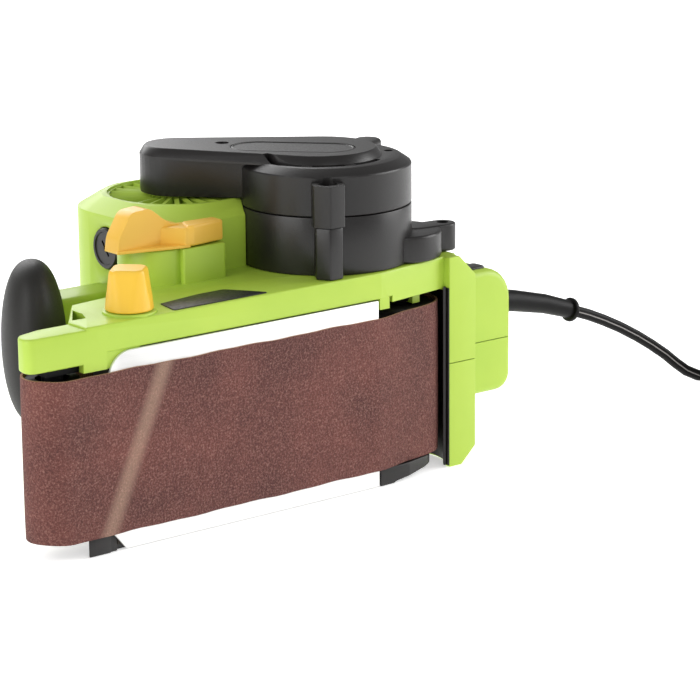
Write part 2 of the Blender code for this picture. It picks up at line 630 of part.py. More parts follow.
def belt_cover():
    """Upper half of the drive cover, from the motor pulley to the countershaft."""
    low, neck_low = CASE_HIGH + GAP, 139.4 * MM
    cover = flat("belt_cover", [disc(LAY_X, LAY_Y, COVER_R, 40)], low, 156.5 * MM, BLACK)
    strip = stadium(MOTOR_X, MOTOR_Y, LAY_X, LAY_Y, NECK_R)
    tier = stadium(MOTOR_X, MOTOR_Y, LAY_X, LAY_Y, NECK_R - 3 * MM)
    adds = [
        flat("rim", [disc(LAY_X, LAY_Y, COVER_R - 4 * MM, 40)], 156 * MM, COVER_HIGH, None, CUTTERS),
        flat("strip", [strip], neck_low, COVER_HIGH, None, CUTTERS),
        flat("tier", [tier], 159 * MM, TIER_HIGH, None, CUTTERS),
        rod("post_high", 22 * MM, -64.5 * MM, low, 151 * MM, 7 * MM, None, steps=8, where=CUTTERS),
        rod("far_ear", 86 * MM, -4 * MM, low, 156.5 * MM, 7 * MM, None, steps=16, where=CUTTERS),
    ]
    combine(cover, adds, "UNION", "MANIFOLD")
    cuts = [
        rod("pulley_room", LAY_X, LAY_Y, 130 * MM, 156.5 * MM, COVER_R - WALL, None, steps=32, where=CUTTERS),
        flat("neck_room", [stadium(MOTOR_X, MOTOR_Y, LAY_X, LAY_Y, NECK_R - WALL)], 130 * MM, 156.5 * MM,
             None, CUTTERS),
    ]
    combine(cover, cuts, "DIFFERENCE", "MANIFOLD")


def trim():
    """Blank badge on the cover and blank rating plate on the side plate."""
    heading = math.atan2(LAY_Y - MOTOR_Y, LAY_X - MOTOR_X)
    ux, uy = math.cos(heading), math.sin(heading)
    ends = [(LAY_X - ux * d, LAY_Y - uy * d) for d in (26 * MM, -14 * MM)]
    flat("cover_badge", [stadium(*ends[0], *ends[1], 8.5 * MM, 8)], TIER_HIGH + GAP, TIER_HIGH + 0.9 * MM, BLACK)
    label = [(-73 * MM, -72 * MM), (-17 * MM, -71.5 * MM), (-31 * MM, -52 * MM), (-70 * MM, -57 * MM)]
    flat("rating_plate", [label], PLATE_HIGH + GAP, PLATE_HIGH + 0.7 * MM, BLACK)


# ---- controls --------------------------------------------------------------------
def tracking_knob():
    low = 108.4 * MM
    profile = ((0, 19.2 * MM), (8.6 * MM, 19.2 * MM), (9.4 * MM, 18.3 * MM), (11.2 * MM, 1.5 * MM),
               (10.6 * MM, 0), (0, 0))
    knob = turned("tracking_knob", profile, (KNOB_X, KNOB_Y), YELLOW, steps=32)
    knob.location.z = low
    flats = []
    for i in range(4):
        flute = box(f"knob_flat_{i}", (10 * MM, -5 * MM, 2 * MM), (16 * MM, 5 * MM, 25 * MM), None, CUTTERS)
        lean = Matrix.Rotation(math.radians(-9), 4, "Y")
        spin = Matrix.Rotation(math.radians(90 * i - 115), 4, "Z")
        flute.data.transform(Matrix.Translation((KNOB_X, KNOB_Y, low)) @ spin @ lean)
        flats.append(flute)
    stem = rod("knob_socket", KNOB_X, KNOB_Y, low - 1 * MM, low + 8 * MM, 3.3 * MM, None, where=CUTTERS)
    combine(knob, flats + [stem], "DIFFERENCE")
    rod("tracking_screw", KNOB_X, KNOB_Y, 94.2 * MM, low + 7.5 * MM, 3 * MM, STEEL, steps=16)


def tension_lever():
    """Cam lever: dome hub on its pivot with a flat arm."""
    pivot = (LEVER_X, LEVER_Y, LEVER_LOW)
    dome = [(0, 21.5 * MM), (5 * MM, 21 * MM), (9 * MM, 18.5 * MM), (12.5 * MM, 14 * MM),
            (14.5 * MM, 8 * MM), (15.5 * MM, 0), (0, 0)]
    lever = turned("tension_lever", dome, pivot[:2], YELLOW, steps=32)
    lever.location = pivot
    arm = box("lever_arm", (LEVER_X + 2 * MM, -31.5 * MM, LEVER_LOW + 0.6 * MM),
              (-14.5 * MM, -21 * MM, LEVER_LOW + 10.5 * MM), None, CUTTERS)
    soften(arm, 1.5 * MM)
    combine(lever, [arm], "UNION")
    rod("lever_cam_shaft", LEVER_X, LEVER_Y, 101 * MM, LEVER_LOW - GAP, 4 * MM, STEEL, steps=20)


def front_handle():
    """Soft front grip on its green neck."""
    shape = bmesh.new()
    bmesh.ops.create_uvsphere(shape, u_segments=20, v_segments=12, radius=1)
    turn = Matrix.Rotation(math.radians(60), 4, "Z")
    size = Matrix.Diagonal((26 * MM, 15.5 * MM, 39.5 * MM, 1))
    shape.transform(Matrix.Translation((GRIP_X, GRIP_Y, GRIP_Z)) @ turn @ size)
    mesh = bpy.data.meshes.new("front_handle")
    shape.to_mesh(mesh)
    shape.free()
    grip = place(bpy.data.objects.new("front_handle", mesh), RUBBER)
    seat = box("neck_seat", (-95 * MM, 8.7 * MM, 61.7 * MM), (-60 * MM, 31.3 * MM, 99.3 * MM), None, CUTTERS)
    combine(grip, [seat], "DIFFERENCE")
    neck = box("front_handle_neck", (-94.7 * MM, 9 * MM, 62 * MM), (-44.5 * MM, 31 * MM, 99 * MM), GREEN)
    soften(neck, 2 * MM, 1)
    bolt = rod("handle_bolt", 0, 0, -14 * MM, 14 * MM, 3 * MM, STEEL, steps=16)
    bolt.matrix_world = along_x(-80 * MM, 20 * MM, 80.5 * MM)
    way = rod("bolt_way", 0, 0, -25 * MM, 16 * MM, 3.3 * MM, None, steps=16, where=CUTTERS)
    way.matrix_world = along_x(-80 * MM, 20 * MM, 80.5 * MM)
    combine(neck, [way], "DIFFERENCE")


def switch_group():
    box("switch_module", (67 * MM, 52.5 * MM, 43 * MM), (97 * MM, 65 * MM, 64 * MM), BLACK)
    trigger = box("trigger", (74.5 * MM, 36.5 * MM, 47.5 * MM), (97.5 * MM, 48.5 * MM, 59.5 * MM), BLACK)
    soften(trigger, 2 * MM, 2)
    rod("lock_button", 80 * MM, 57 * MM, 66.5 * MM, 74.5 * MM, 5 * MM, BLACK, steps=20)


def dust_outlet():
    tube_x = along_x(112 * MM, -2 * MM, 17 * MM)
    profile = ((11.5 * MM, 28 * MM), (14 * MM, 28 * MM), (14 * MM, 0), (11.5 * MM, 0), (11.5 * MM, 28 * MM))
    turned("dust_outlet", profile, (0, 0), BLACK, steps=24, turn=tube_x)


# ---- cord ------------------------------------------------------------------------
def cord():
    """Strain relief, free cord, its put-away coil and the plug."""
    start, end = Vector((155.6 * MM, -39 * MM, 70.7 * MM)), Vector((206 * MM, -39 * MM, 57.6 * MM))
    relief = turned("strain_relief", ((0, 1), (4.4 * MM, 1), (6.2 * MM, 0.985), (6.2 * MM, 0.955), (4.4 * MM, 0.93),
                                      (6 * MM, 0), (0, 0)), (0, 0), RUBBER, steps=16)
    span = end - start
    for vertex in relief.data.vertices:
        vertex.co.z *= span.length
    aim = span.to_track_quat("Z", "Y").to_matrix().to_4x4()
    relief.matrix_world = Matrix.Translation(start) @ aim
    tube("cord", smooth_route(CORD_ROUTE, 14 * MM), CORD_R, RUBBER)
    ring = [(COIL_R - COIL_HALF, COIL_TALL), (COIL_R + COIL_HALF, COIL_TALL), (COIL_R + COIL_HALF, 0.2 * MM),
            (COIL_R - COIL_HALF, 0.2 * MM), (COIL_R - COIL_HALF, COIL_TALL)]
    turned("cord_coil", ring, (COIL_X, COIL_Y), RUBBER, steps=32)
    tube("cord_tail", [(TAIL_START, TAIL_Y, PLUG_Z), (TAIL_END, TAIL_Y, PLUG_Z)], CORD_R, RUBBER)


def plug():
    back = TAIL_END + GAP
    body = [(0, PLUG_LENGTH), (17 * MM, PLUG_LENGTH), (17 * MM, 26 * MM), (7 * MM, 8 * MM), (5 * MM, 0), (0, 0)]
    turned("plug_body", body, (0, 0), RUBBER, steps=24, turn=along_x(back, TAIL_Y, PLUG_Z))
    for word, side in (("a", -9.5 * MM), ("b", 9.5 * MM)):
        pin = rod("plug_pin_" + word, 0, 0, 0, PIN_LENGTH, 2.4 * MM, STEEL, steps=12)
        pin.matrix_world = along_x(back + PLUG_LENGTH + GAP, TAIL_Y + side, PLUG_Z)


def build():
    sanding_belt()
    rollers()
    platen()
    side_rail()
    front_yoke()
    left_housing()
    right_housing()
    motor()
    drive_train()
    gear_case()
    belt_cover()
    trim()
    tracking_knob()
    tension_lever()
    front_handle()
    switch_group()
    dust_outlet()
    cord()
    plug()


build()
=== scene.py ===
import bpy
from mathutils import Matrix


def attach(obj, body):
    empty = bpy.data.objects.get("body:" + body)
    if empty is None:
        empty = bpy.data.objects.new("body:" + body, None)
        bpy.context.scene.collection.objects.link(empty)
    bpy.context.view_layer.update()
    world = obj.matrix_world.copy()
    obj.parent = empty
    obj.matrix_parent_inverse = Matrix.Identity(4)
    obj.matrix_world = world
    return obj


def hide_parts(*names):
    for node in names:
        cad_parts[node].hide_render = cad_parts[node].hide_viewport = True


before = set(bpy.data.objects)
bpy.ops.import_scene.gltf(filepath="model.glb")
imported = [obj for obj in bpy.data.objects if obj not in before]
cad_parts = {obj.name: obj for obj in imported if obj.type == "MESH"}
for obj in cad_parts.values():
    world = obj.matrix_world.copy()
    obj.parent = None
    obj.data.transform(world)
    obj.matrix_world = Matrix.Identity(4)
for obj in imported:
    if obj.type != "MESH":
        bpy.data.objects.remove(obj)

"""Looks of a handheld belt sander that lies on its right side.

+Z is the tool's left side with the drive cover, -Y the sanding face, +X the rear.
Sizes in this file are millimetres; meshes are made in metres.
"""

import logging
import math
from collections.abc import Iterable, Sequence
from dataclasses import dataclass, field
from enum import Enum

import bmesh
import bpy
from bpy.types import Material, NodeSocket, Object, ShaderNodeTree
from mathutils import Matrix, Vector

log = logging.getLogger("belt_sander")
logging.basicConfig(level=logging.INFO, format="%(name)s: %(message)s")

MM = 0.001
Flat = tuple[float, float]
Point = tuple[float, float, float]
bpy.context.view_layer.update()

# ---- sizes that several sub-assemblies share, millimetres ----------------------
IDLER, IDLER_R = (-133.0, -60.5), 14.5      # belt's outer radius over each roller
DRIVE, DRIVE_R = (78.5, -48.2), 20.0
BELT_LOW, BELT_WIDE, BELT_THICK = 9.0, 76.0, 1.2
BELT_HIGH = BELT_LOW + BELT_WIDE
MOTOR, BRUSH_LEVEL = (-0.5, 26.5), 115.8
LAY = (49.3, -28.8)                         # middle of the round cover
LEVER, KNOB = (-52.0, -15.5), (-89.5, -59.5)
SEAM, PLATE_LOW, PLATE_TOP = 53.3, 93.9, 107.0
GRIP_CENTRE = (-97.0, 10.0, 81.0)


# ---- plane geometry ---------------------------------------------------------------
def arc(x: float, y: float, radius: float, start: float, end: float, steps: int) -> list[Flat]:
    """Points on an arc.

    Args:
        x, y: the centre.
        radius: the radius.
        start, end: angles in degrees.
        steps: number of chords.

    Returns:
        steps + 1 points, both ends included.
    """
    turn = (end - start) / steps
    angles = [math.radians(start + turn * i) for i in range(steps + 1)]
    return [(x + radius * math.cos(a), y + radius * math.sin(a)) for a in angles]


def disc(x: float, y: float, radius: float, steps: int = 96) -> list[Flat]:
    """Points of a full circle."""
    return arc(x, y, radius, 0, 360, steps)[:-1]


def tangent_loop(a: Flat, ra: float, b: Flat, rb: float, steps: int = 28) -> list[Flat]:
    """Outline round two circles with straight runs between them.

    Args:
        a, ra: first circle.
        b, rb: second circle.
        steps: chords on each circle.

    Returns:
        The closed outline, anticlockwise.
    """
    heading = math.degrees(math.atan2(b[1] - a[1], b[0] - a[0]))
    lean = math.degrees(math.asin((rb - ra) / math.hypot(b[0] - a[0], b[1] - a[1])))
    loop = arc(*b, rb, heading - 90 - lean, heading + 90 + lean, steps)
    return loop + arc(*a, ra, heading + 90 + lean, heading + 270 - lean, steps)


def square(x: float, y: float, half: float, corner: float, steps: int = 12) -> list[Flat]:
    """Outline of a square with round corners.

    Args:
        x, y: the centre.
        half: half its side.
        corner: radius of its corners.
        steps: chords in each corner.

    Returns:
        The outline, anticlockwise.
    """
    flat = half - corner
    points: list[Flat] = []
    for dx, dy, turn in ((flat, flat, 0), (-flat, flat, 90), (-flat, -flat, 180), (flat, -flat, 270)):
        points += arc(x + dx, y + dy, corner, turn, turn + 90, steps)
    return points


def rounded(corners: Sequence[tuple[float, float, float]], steps: int = 6) -> list[Flat]:
    """Outline through corners, each with its own fillet radius.

    Args:
        corners: (x, y, fillet radius) in order round the outline.
        steps: chords in each fillet.

    Returns:
        The outline with its fillets.
    """
    out: list[Flat] = []
    for i, (x, y, radius) in enumerate(corners):
        here = Vector((x, y))
        before = (Vector(corners[i - 1][:2]) - here).normalized()
        after = (Vector(corners[(i + 1) % len(corners)][:2]) - here).normalized()
        if radius <= 0 or abs(before.dot(after)) > 0.9995:
            out.append((x, y))
            continue
        half = math.acos(max(-1.0, min(1.0, before.dot(after)))) / 2
        centre = here + (before + after).normalized() * (radius / math.sin(half))
        first = here + before * (radius / math.tan(half)) - centre
        last = here + after * (radius / math.tan(half)) - centre
        start = math.atan2(first.y, first.x)
        sweep = (math.atan2(last.y, last.x) - start + math.pi) % (2 * math.pi) - math.pi
        for step in range(steps + 1):
            angle = start + sweep * step / steps
            out.append((centre.x + radius * math.cos(angle), centre.y + radius * math.sin(angle)))
    return out


# ---- mesh making ----------------------------------------------------------------
def adopt(name: str, shape: bmesh.types.BMesh, sharp: float = 32) -> Object:
    """Turns a bmesh into a linked object, smooth but for its sharp edges.

    Args:
        name: the object's name.
        shape: the mesh, in metres; it is freed.
        sharp: edges steeper than this many degrees stay sharp.

    Returns:
        The new object.
    """
    mesh = bpy.data.meshes.new(name)
    shape.to_mesh(mesh)
    shape.free()
    obj = bpy.data.objects.new(name, mesh)
    bpy.context.scene.collection.objects.link(obj)
    return smooth(obj, sharp)


def smooth(obj: Object, sharp: float = 32) -> Object:
    """Shades an object smooth between its sharp edges.

    Args:
        obj: the object.
        sharp: edges steeper than this many degrees stay sharp.

    Returns:
        The same object.
    """
    obj.data.shade_smooth()
    obj.data.set_sharp_from_angle(angle=math.radians(sharp))
    return obj


def baked(obj: Object, sharp: float = 32) -> Object:
    """Applies an object's modifiers and shades it again.

    Args:
        obj: an object with modifiers.
        sharp: sharp edge angle in degrees.

    Returns:
        The same object with a plain mesh.
    """
    graph = bpy.context.evaluated_depsgraph_get()
    graph.update()
    mesh = bpy.data.meshes.new_from_object(obj.evaluated_get(graph))
    obj.modifiers.clear()
    old = obj.data
    obj.data = mesh
    bpy.data.meshes.remove(old)
    mesh.name = obj.name
    return smooth(obj, sharp)


def loft(name: str, rings: Sequence[Sequence[Point]], caps: bool = True, ring_closed: bool = False,
         sharp: float = 32) -> Object:
    """Skin over rings of points.

    Args:
        name: the object's name.
        rings: rings with the same number of points, millimetres.
        caps: closes the first and last ring.
        ring_closed: joins the last ring to the first instead.
        sharp: sharp edge angle in degrees.

    Returns:
        The new object, normals outwards.
    """
    shape = bmesh.new()
    rows = [[shape.verts.new(Vector(p) * MM) for p in ring] for ring in rings]
    pairs = list(zip(rows, rows[1:])) + ([(rows[-1], rows[0])] if ring_closed else [])
    for low, high in pairs:
        for i in range(len(low)):
            j = (i + 1) % len(low)
            shape.faces.new((low[i], low[j], high[j], high[i]))
    if caps and not ring_closed:
        shape.faces.new(rows[0][::-1])
        shape.faces.new(rows[-1])
    bmesh.ops.remove_doubles(shape, verts=shape.verts, dist=1e-7)
    bmesh.ops.recalc_face_normals(shape, faces=shape.faces)
    return adopt(name, shape, sharp)


def turned(name: str, profile: Sequence[Flat], centre: Flat = (0, 0), steps: int = 96,
           turn: Matrix | None = None, sharp: float = 32) -> Object:
    """A turned solid.

    Args:
        name: the object's name.
        profile: (radius, z) from one end to the other; a tube's profile ends where it starts.
        centre: the axis.
        steps: facets round the axis.
        turn: a placing in millimetres, applied to the mesh.
        sharp: sharp edge angle in degrees.

    Returns:
        The new object.
    """
    ring = profile[0] == profile[-1]
    rows = profile[:-1] if ring else profile
    rings = [at_level(disc(*centre, max(radius, 1e-4), steps), level) for radius, level in rows]
    obj = loft(name, rings, ring_closed=ring, sharp=sharp)
    return moved(obj, turn) if turn else obj


def at_level(loop: Sequence[Flat], level: float) -> list[Point]:
    """Sets a flat outline at a height."""
    return [(x, y, level) for x, y in loop]


def moved(obj: Object, turn: Matrix) -> Object:
    """Applies a placing given in millimetres to an object's mesh.

    Args:
        obj: the object.
        turn: the placing.

    Returns:
        The same object.
    """
    place = turn.copy()
    place.translation = turn.translation * MM
    obj.data.transform(place)
    if place.determinant() < 0:
        obj.data.flip_normals()
    return obj


def prism(name: str, loops: Sequence[Sequence[Flat]], low: float, high: float, edge: float = 0.0,
          steps: int = 3, turn: Matrix | None = None, sharp: float = 32) -> Object:
    """A flat outline with thickness and rounded rims.

    Args:
        name: the object's name.
        loops: the outline, then any holes.
        low, high: levels of the two faces.
        edge: radius of the rounding of every sharp edge.
        steps: facets in that rounding.
        turn: a placing in millimetres, applied to the mesh.
        sharp: sharp edge angle in degrees.

    Returns:
        The new object.
    """
    curve = bpy.data.curves.new(name, "CURVE")
    curve.dimensions, curve.fill_mode = "2D", "BOTH"
    curve.extrude = (high - low) / 2 * MM
    for loop in loops:
        spline = curve.splines.new("POLY")
        spline.points.add(len(loop) - 1)
        for point, (x, y) in zip(spline.points, loop):
            point.co = (x * MM, y * MM, 0, 1)
        spline.use_cyclic_u = True
    holder = bpy.data.objects.new(name + "_outline", curve)
    bpy.context.scene.collection.objects.link(holder)
    graph = bpy.context.evaluated_depsgraph_get()
    mesh = bpy.data.meshes.new_from_object(holder.evaluated_get(graph))
    bpy.data.objects.remove(holder, do_unlink=True)
    shape = bmesh.new()
    shape.from_mesh(mesh)
    bpy.data.meshes.remove(mesh)
    bmesh.ops.remove_doubles(shape, verts=shape.verts, dist=1e-6)
    level = [e for e in shape.edges if any(abs(f.normal.z) > 0.9 for f in e.link_faces)]
    bmesh.ops.dissolve_limit(shape, angle_limit=0.01, verts=shape.verts, edges=level)
    bmesh.ops.translate(shape, verts=shape.verts, vec=(0, 0, (low + high) / 2 * MM))
    bmesh.ops.recalc_face_normals(shape, faces=shape.faces)
    if edge:
        rims = [e for e in shape.edges if e.is_manifold and e.calc_face_angle(0) > math.radians(35)]
        bmesh.ops.bevel(shape, geom=rims, offset=edge * MM, segments=steps, profile=0.5,
                        affect="EDGES", clamp_overlap=True)
    obj = adopt(name, shape, sharp)
    return moved(obj, turn) if turn else obj


def block(name: str, low: Point, high: Point, edge: float = 0.0, steps: int = 3) -> Object:
    """A block between two corners with rounded edges."""
    loop = [(low[0], low[1]), (high[0], low[1]), (high[0], high[1]), (low[0], high[1])]
    return prism(name, [loop], low[2], high[2], edge, steps)


def carve(target: Object, tools: Iterable[Object], operation: str = "DIFFERENCE",
          sharp: float = 32) -> Object:
    """Cuts tools from an object, or joins them to it, and removes the tools.

    Args:
        target: the object that is changed.
        tools: closed meshes.
        operation: DIFFERENCE, UNION or INTERSECT.
        sharp: sharp edge angle in degrees.

    Returns:
        The target.
    """
    spent = list(tools)
    for tool in spent:
        step = target.modifiers.new("step", "BOOLEAN")
        step.operation, step.object, step.solver = operation, tool, "MANIFOLD"
    baked(target, sharp)
    for tool in spent:
        bpy.data.objects.remove(tool, do_unlink=True)
    return target


def merged(name: str, objects: Sequence[Object], sharp: float = 32) -> Object:
    """Puts several meshes in one object, each keeping its own material.

    Args:
        name: the new object's name.
        objects: the meshes, which are removed.
        sharp: sharp edge angle in degrees.

    Returns:
        The new object.
    """
    shape = bmesh.new()
    mesh = bpy.data.meshes.new(name)
    for index, obj in enumerate(objects):
        part = bmesh.new()
        part.from_mesh(obj.data)
        for face in part.faces:
            face.material_index = index
        part.to_mesh(obj.data)
        part.free()
        shape.from_mesh(obj.data)
        mesh.materials.append(obj.data.materials[0] if obj.data.materials else None)
    shape.to_mesh(mesh)
    shape.free()
    for obj in objects:
        bpy.data.objects.remove(obj, do_unlink=True)
    made = bpy.data.objects.new(name, mesh)
    bpy.context.scene.collection.objects.link(made)
    return smooth(made, sharp)


def along(direction: str, x: float, y: float, z: float) -> Matrix:
    """Placing that turns +Z to +X or -X and moves it to a point."""
    angle = 90 if direction == "+X" else -90
    return Matrix.Translation((x, y, z)) @ Matrix.Rotation(math.radians(angle), 4, "Y")


def upright() -> Matrix:
    """Placing that stands an (x, z) outline up, its thickness towards -Y."""
    return Matrix.Rotation(math.radians(90), 4, "X")


# ---- finishes --------------------------------------------------------------------
def linear(code: str) -> tuple[float, float, float, float]:
    """Linear colour of an sRGB hex value."""
    parts = [int(code[i:i + 2], 16) / 255 for i in (1, 3, 5)]
    red, green, blue = [c / 12.92 if c <= 0.04045 else ((c + 0.055) / 1.055) ** 2.4 for c in parts]
    return (red, green, blue, 1.0)


def add(tree: ShaderNodeTree, kind: str, inputs: dict | None = None,
        **settings: object) -> bpy.types.Node:
    """Adds a node with its settings and links.

    Args:
        tree: the tree it goes in.
        kind: the node's type name.
        inputs: socket name or index to a value, or to the socket that feeds it.
        settings: the node's own properties.

    Returns:
        The node.
    """
    made = tree.nodes.new(kind)
    for key, value in settings.items():
        setattr(made, key, value)
    for key, value in (inputs or {}).items():
        if isinstance(value, NodeSocket):
            tree.links.new(value, made.inputs[key])
        else:
            made.inputs[key].default_value = value
    return made


def ramp(tree: ShaderNodeTree, factor: NodeSocket, stops: Sequence[tuple[float, tuple]]) -> NodeSocket:
    """Colour ramp through the stops; returns its colour socket.

    Args:
        tree: the tree it goes in.
        factor: what runs along the ramp.
        stops: (place, colour) in order.

    Returns:
        The ramp's colour.
    """
    made = add(tree, "ShaderNodeValToRGB", {"Fac": factor})
    band = made.color_ramp
    while len(band.elements) < len(stops):
        band.elements.new(0.5)
    for element, (place, colour) in zip(band.elements, stops):
        element.position, element.color = place, colour
    return made.outputs["Color"]


def fresh(name: str) -> tuple[Material, ShaderNodeTree, bpy.types.Node]:
    """A new material with its tree and Principled shader.

    Args:
        name: the material's name.

    Returns:
        The material, its tree and its shader.
    """
    made = bpy.data.materials.new(name)
    made.use_nodes = True
    return made, made.node_tree, made.node_tree.nodes["Principled BSDF"]


def mottle(tree: ShaderNodeTree, shader: bpy.types.Node, height: NodeSocket, roughness: Flat,
           dent: float, depth: float) -> None:
    """Lets a pattern move the roughness a little and dent the surface.

    Args:
        tree: the material's tree.
        shader: its Principled shader.
        height: the pattern, 0 to 1.
        roughness: roughness at the pattern's low and high end.
        dent: strength of the dents.
        depth: their depth, metres.
    """
    gloss = add(tree, "ShaderNodeMapRange", {"Value": height, "From Min": 0.3, "From Max": 0.7,
                                             "To Min": roughness[0], "To Max": roughness[1]})
    tree.links.new(gloss.outputs["Result"], shader.inputs["Roughness"])
    bump = add(tree, "ShaderNodeBump", {"Height": height, "Strength": dent, "Distance": depth})
    tree.links.new(bump.outputs["Normal"], shader.inputs["Normal"])


@dataclass(frozen=True)
class MouldedPlastic:
    """Injection-moulded plastic: even colour, fine spark-eroded grain, soft sheen.

    The grain scatters highlights, so the roughness wanders a little and small
    dents break the light up; slow flow marks shift the colour by a few per cent.
    """

    name: str
    colour: str
    shade: str
    roughness: float = 0.42
    grain_mm: float = 0.5
    dent: float = 0.06
    sheen: float = 0.0
    shine: float = 0.5

    def make(self) -> Material:
        """Builds the material.

        Returns:
            The material.
        """
        made, tree, shader = fresh(self.name)
        place = add(tree, "ShaderNodeTexCoord").outputs["Object"]
        flow = add(tree, "ShaderNodeTexNoise", {"Vector": place, "Scale": 26.0, "Detail": 3.0})
        grain = add(tree, "ShaderNodeTexNoise",
                    {"Vector": place, "Scale": 1 / (self.grain_mm * MM), "Detail": 2.0})
        tone = ramp(tree, flow.outputs["Fac"], ((0.3, linear(self.shade)), (0.7, linear(self.colour))))
        tree.links.new(tone, shader.inputs["Base Color"])
        spread = (self.roughness - 0.05, self.roughness + 0.07)
        mottle(tree, shader, grain.outputs["Fac"], spread, self.dent, 0.0004)
        shader.inputs["IOR"].default_value = 1.5
        shader.inputs["Specular IOR Level"].default_value = self.shine
        shader.inputs["Sheen Weight"].default_value = self.sheen
        return made


@dataclass(frozen=True)
class Metal:
    """Bare metal: milled, ground or die cast, with streaks or a fine cast skin."""

    name: str
    colour: str
    roughness: float
    streak_mm: float = 0.3
    stretch: Point = (1.0, 1.0, 1.0)
    dent: float = 0.08
    metallic: float = 1.0
    contrast: float = 0.18

    def make(self) -> Material:
        """Builds the material.

        Returns:
            The material.
        """
        made, tree, shader = fresh(self.name)
        place = add(tree, "ShaderNodeTexCoord").outputs["Object"]
        laid = add(tree, "ShaderNodeMapping", {"Vector": place, "Scale": self.stretch})
        streak = add(tree, "ShaderNodeTexNoise",
                     {"Vector": laid.outputs["Vector"], "Scale": 1 / (self.streak_mm * MM),
                      "Detail": 3.0})
        red, green, blue, _ = linear(self.colour)
        keep = 1 - self.contrast
        darker = (red * keep, green * keep, blue * keep, 1)
        tone = ramp(tree, streak.outputs["Fac"], ((0.3, darker), (0.7, (red, green, blue, 1))))
        tree.links.new(tone, shader.inputs["Base Color"])
        spread = (self.roughness - 0.06, self.roughness + 0.08)
        mottle(tree, shader, streak.outputs["Fac"], spread, self.dent, 0.0003)
        shader.inputs["Metallic"].default_value = self.metallic
        return made


@dataclass(frozen=True)
class AbrasiveCloth:
    """Aluminium-oxide grit on cloth: brown-red grains with light sparkles.

    Real 60-80 grit is about 0.25 mm; it is drawn at 0.9 mm so that it shows.
    A slanted splice crosses the belt, seen as a paler worn band. The UV map runs
    along the belt in metres, u, and across it, v.
    """

    name: str = "aluminium_oxide_cloth"
    dark: str = "#3B1D1B"
    middle: str = "#653630"
    light: str = "#B08274"
    dusty: str = "#7C463D"
    splice: str = "#C4A58E"
    grit_mm: float = 0.9
    splice_at: float = 0.3318
    splice_slope: float = 0.434

    def make(self) -> Material:
        """Builds the material.

        Returns:
            The material.
        """
        made, tree, shader = fresh(self.name)
        place = add(tree, "ShaderNodeTexCoord")
        spot = place.outputs["Object"]
        fine = add(tree, "ShaderNodeTexNoise", {"Vector": spot, "Scale": 1 / (self.grit_mm * MM),
                                                "Detail": 4.0, "Roughness": 0.75})
        cells = add(tree, "ShaderNodeTexVoronoi", {"Vector": spot,
                                                   "Scale": 1 / (self.grit_mm * 1.1 * MM)})
        cloud = add(tree, "ShaderNodeTexNoise", {"Vector": spot, "Scale": 30.0, "Detail": 3.0})
        grains = ramp(tree, fine.outputs["Fac"], ((0.32, linear(self.dark)), (0.5, linear(self.middle)),
                                                  (0.72, linear(self.light))))
        worn = ramp(tree, cloud.outputs["Fac"], ((0.35, linear(self.dark)), (0.7, linear(self.dusty))))
        wide = add(tree, "ShaderNodeMix", {"Factor": 0.35, 6: grains, 7: worn}, data_type="RGBA")
        tone = self.spliced(tree, place.outputs["UV"], fine.outputs["Fac"], wide.outputs[2])
        tree.links.new(tone, shader.inputs["Base Color"])
        shader.inputs["Roughness"].default_value = 0.8
        rough = add(tree, "ShaderNodeMath", {0: fine.outputs["Fac"], 1: cells.outputs["Distance"]},
                    operation="SUBTRACT")
        bump = add(tree, "ShaderNodeBump", {"Height": rough.outputs[0], "Strength": 0.8,
                                            "Distance": 0.0006})
        tree.links.new(bump.outputs["Normal"], shader.inputs["Normal"])
        return made

    def spliced(self, tree: ShaderNodeTree, uv: NodeSocket, grain: NodeSocket,
                tone: NodeSocket) -> NodeSocket:
        """Lays the splice over the grit's colour, a slanted band with a ragged soft edge.

        Args:
            tree: the material's tree.
            uv: the belt's own UV map.
            grain: the pattern that frays the band's edge.
            tone: the grit's colour.

        Returns:
            The colour with the splice.
        """
        # The band is where |u - slope * v - place| is small.
        parts = add(tree, "ShaderNodeSeparateXYZ", {"Vector": uv})
        slant = add(tree, "ShaderNodeMath", {0: parts.outputs["Y"], 1: self.splice_slope,
                                             2: self.splice_at}, operation="MULTIPLY_ADD")
        away = add(tree, "ShaderNodeMath", {0: parts.outputs["X"], 1: slant.outputs[0]},
                   operation="SUBTRACT")
        apart = add(tree, "ShaderNodeMath", {0: away.outputs[0]}, operation="ABSOLUTE")
        ragged = add(tree, "ShaderNodeMath", {0: grain, 1: 0.004, 2: apart.outputs[0]},
                     operation="MULTIPLY_ADD")
        band = add(tree, "ShaderNodeMapRange", {"Value": ragged.outputs[0], "From Min": 0.0035,
                                                "From Max": 0.0085, "To Min": 0.36, "To Max": 0.0})
        laid = add(tree, "ShaderNodeMix", {"Factor": band.outputs["Result"], 6: tone,
                                           7: linear(self.splice)}, data_type="RGBA")
        return laid.outputs[2]


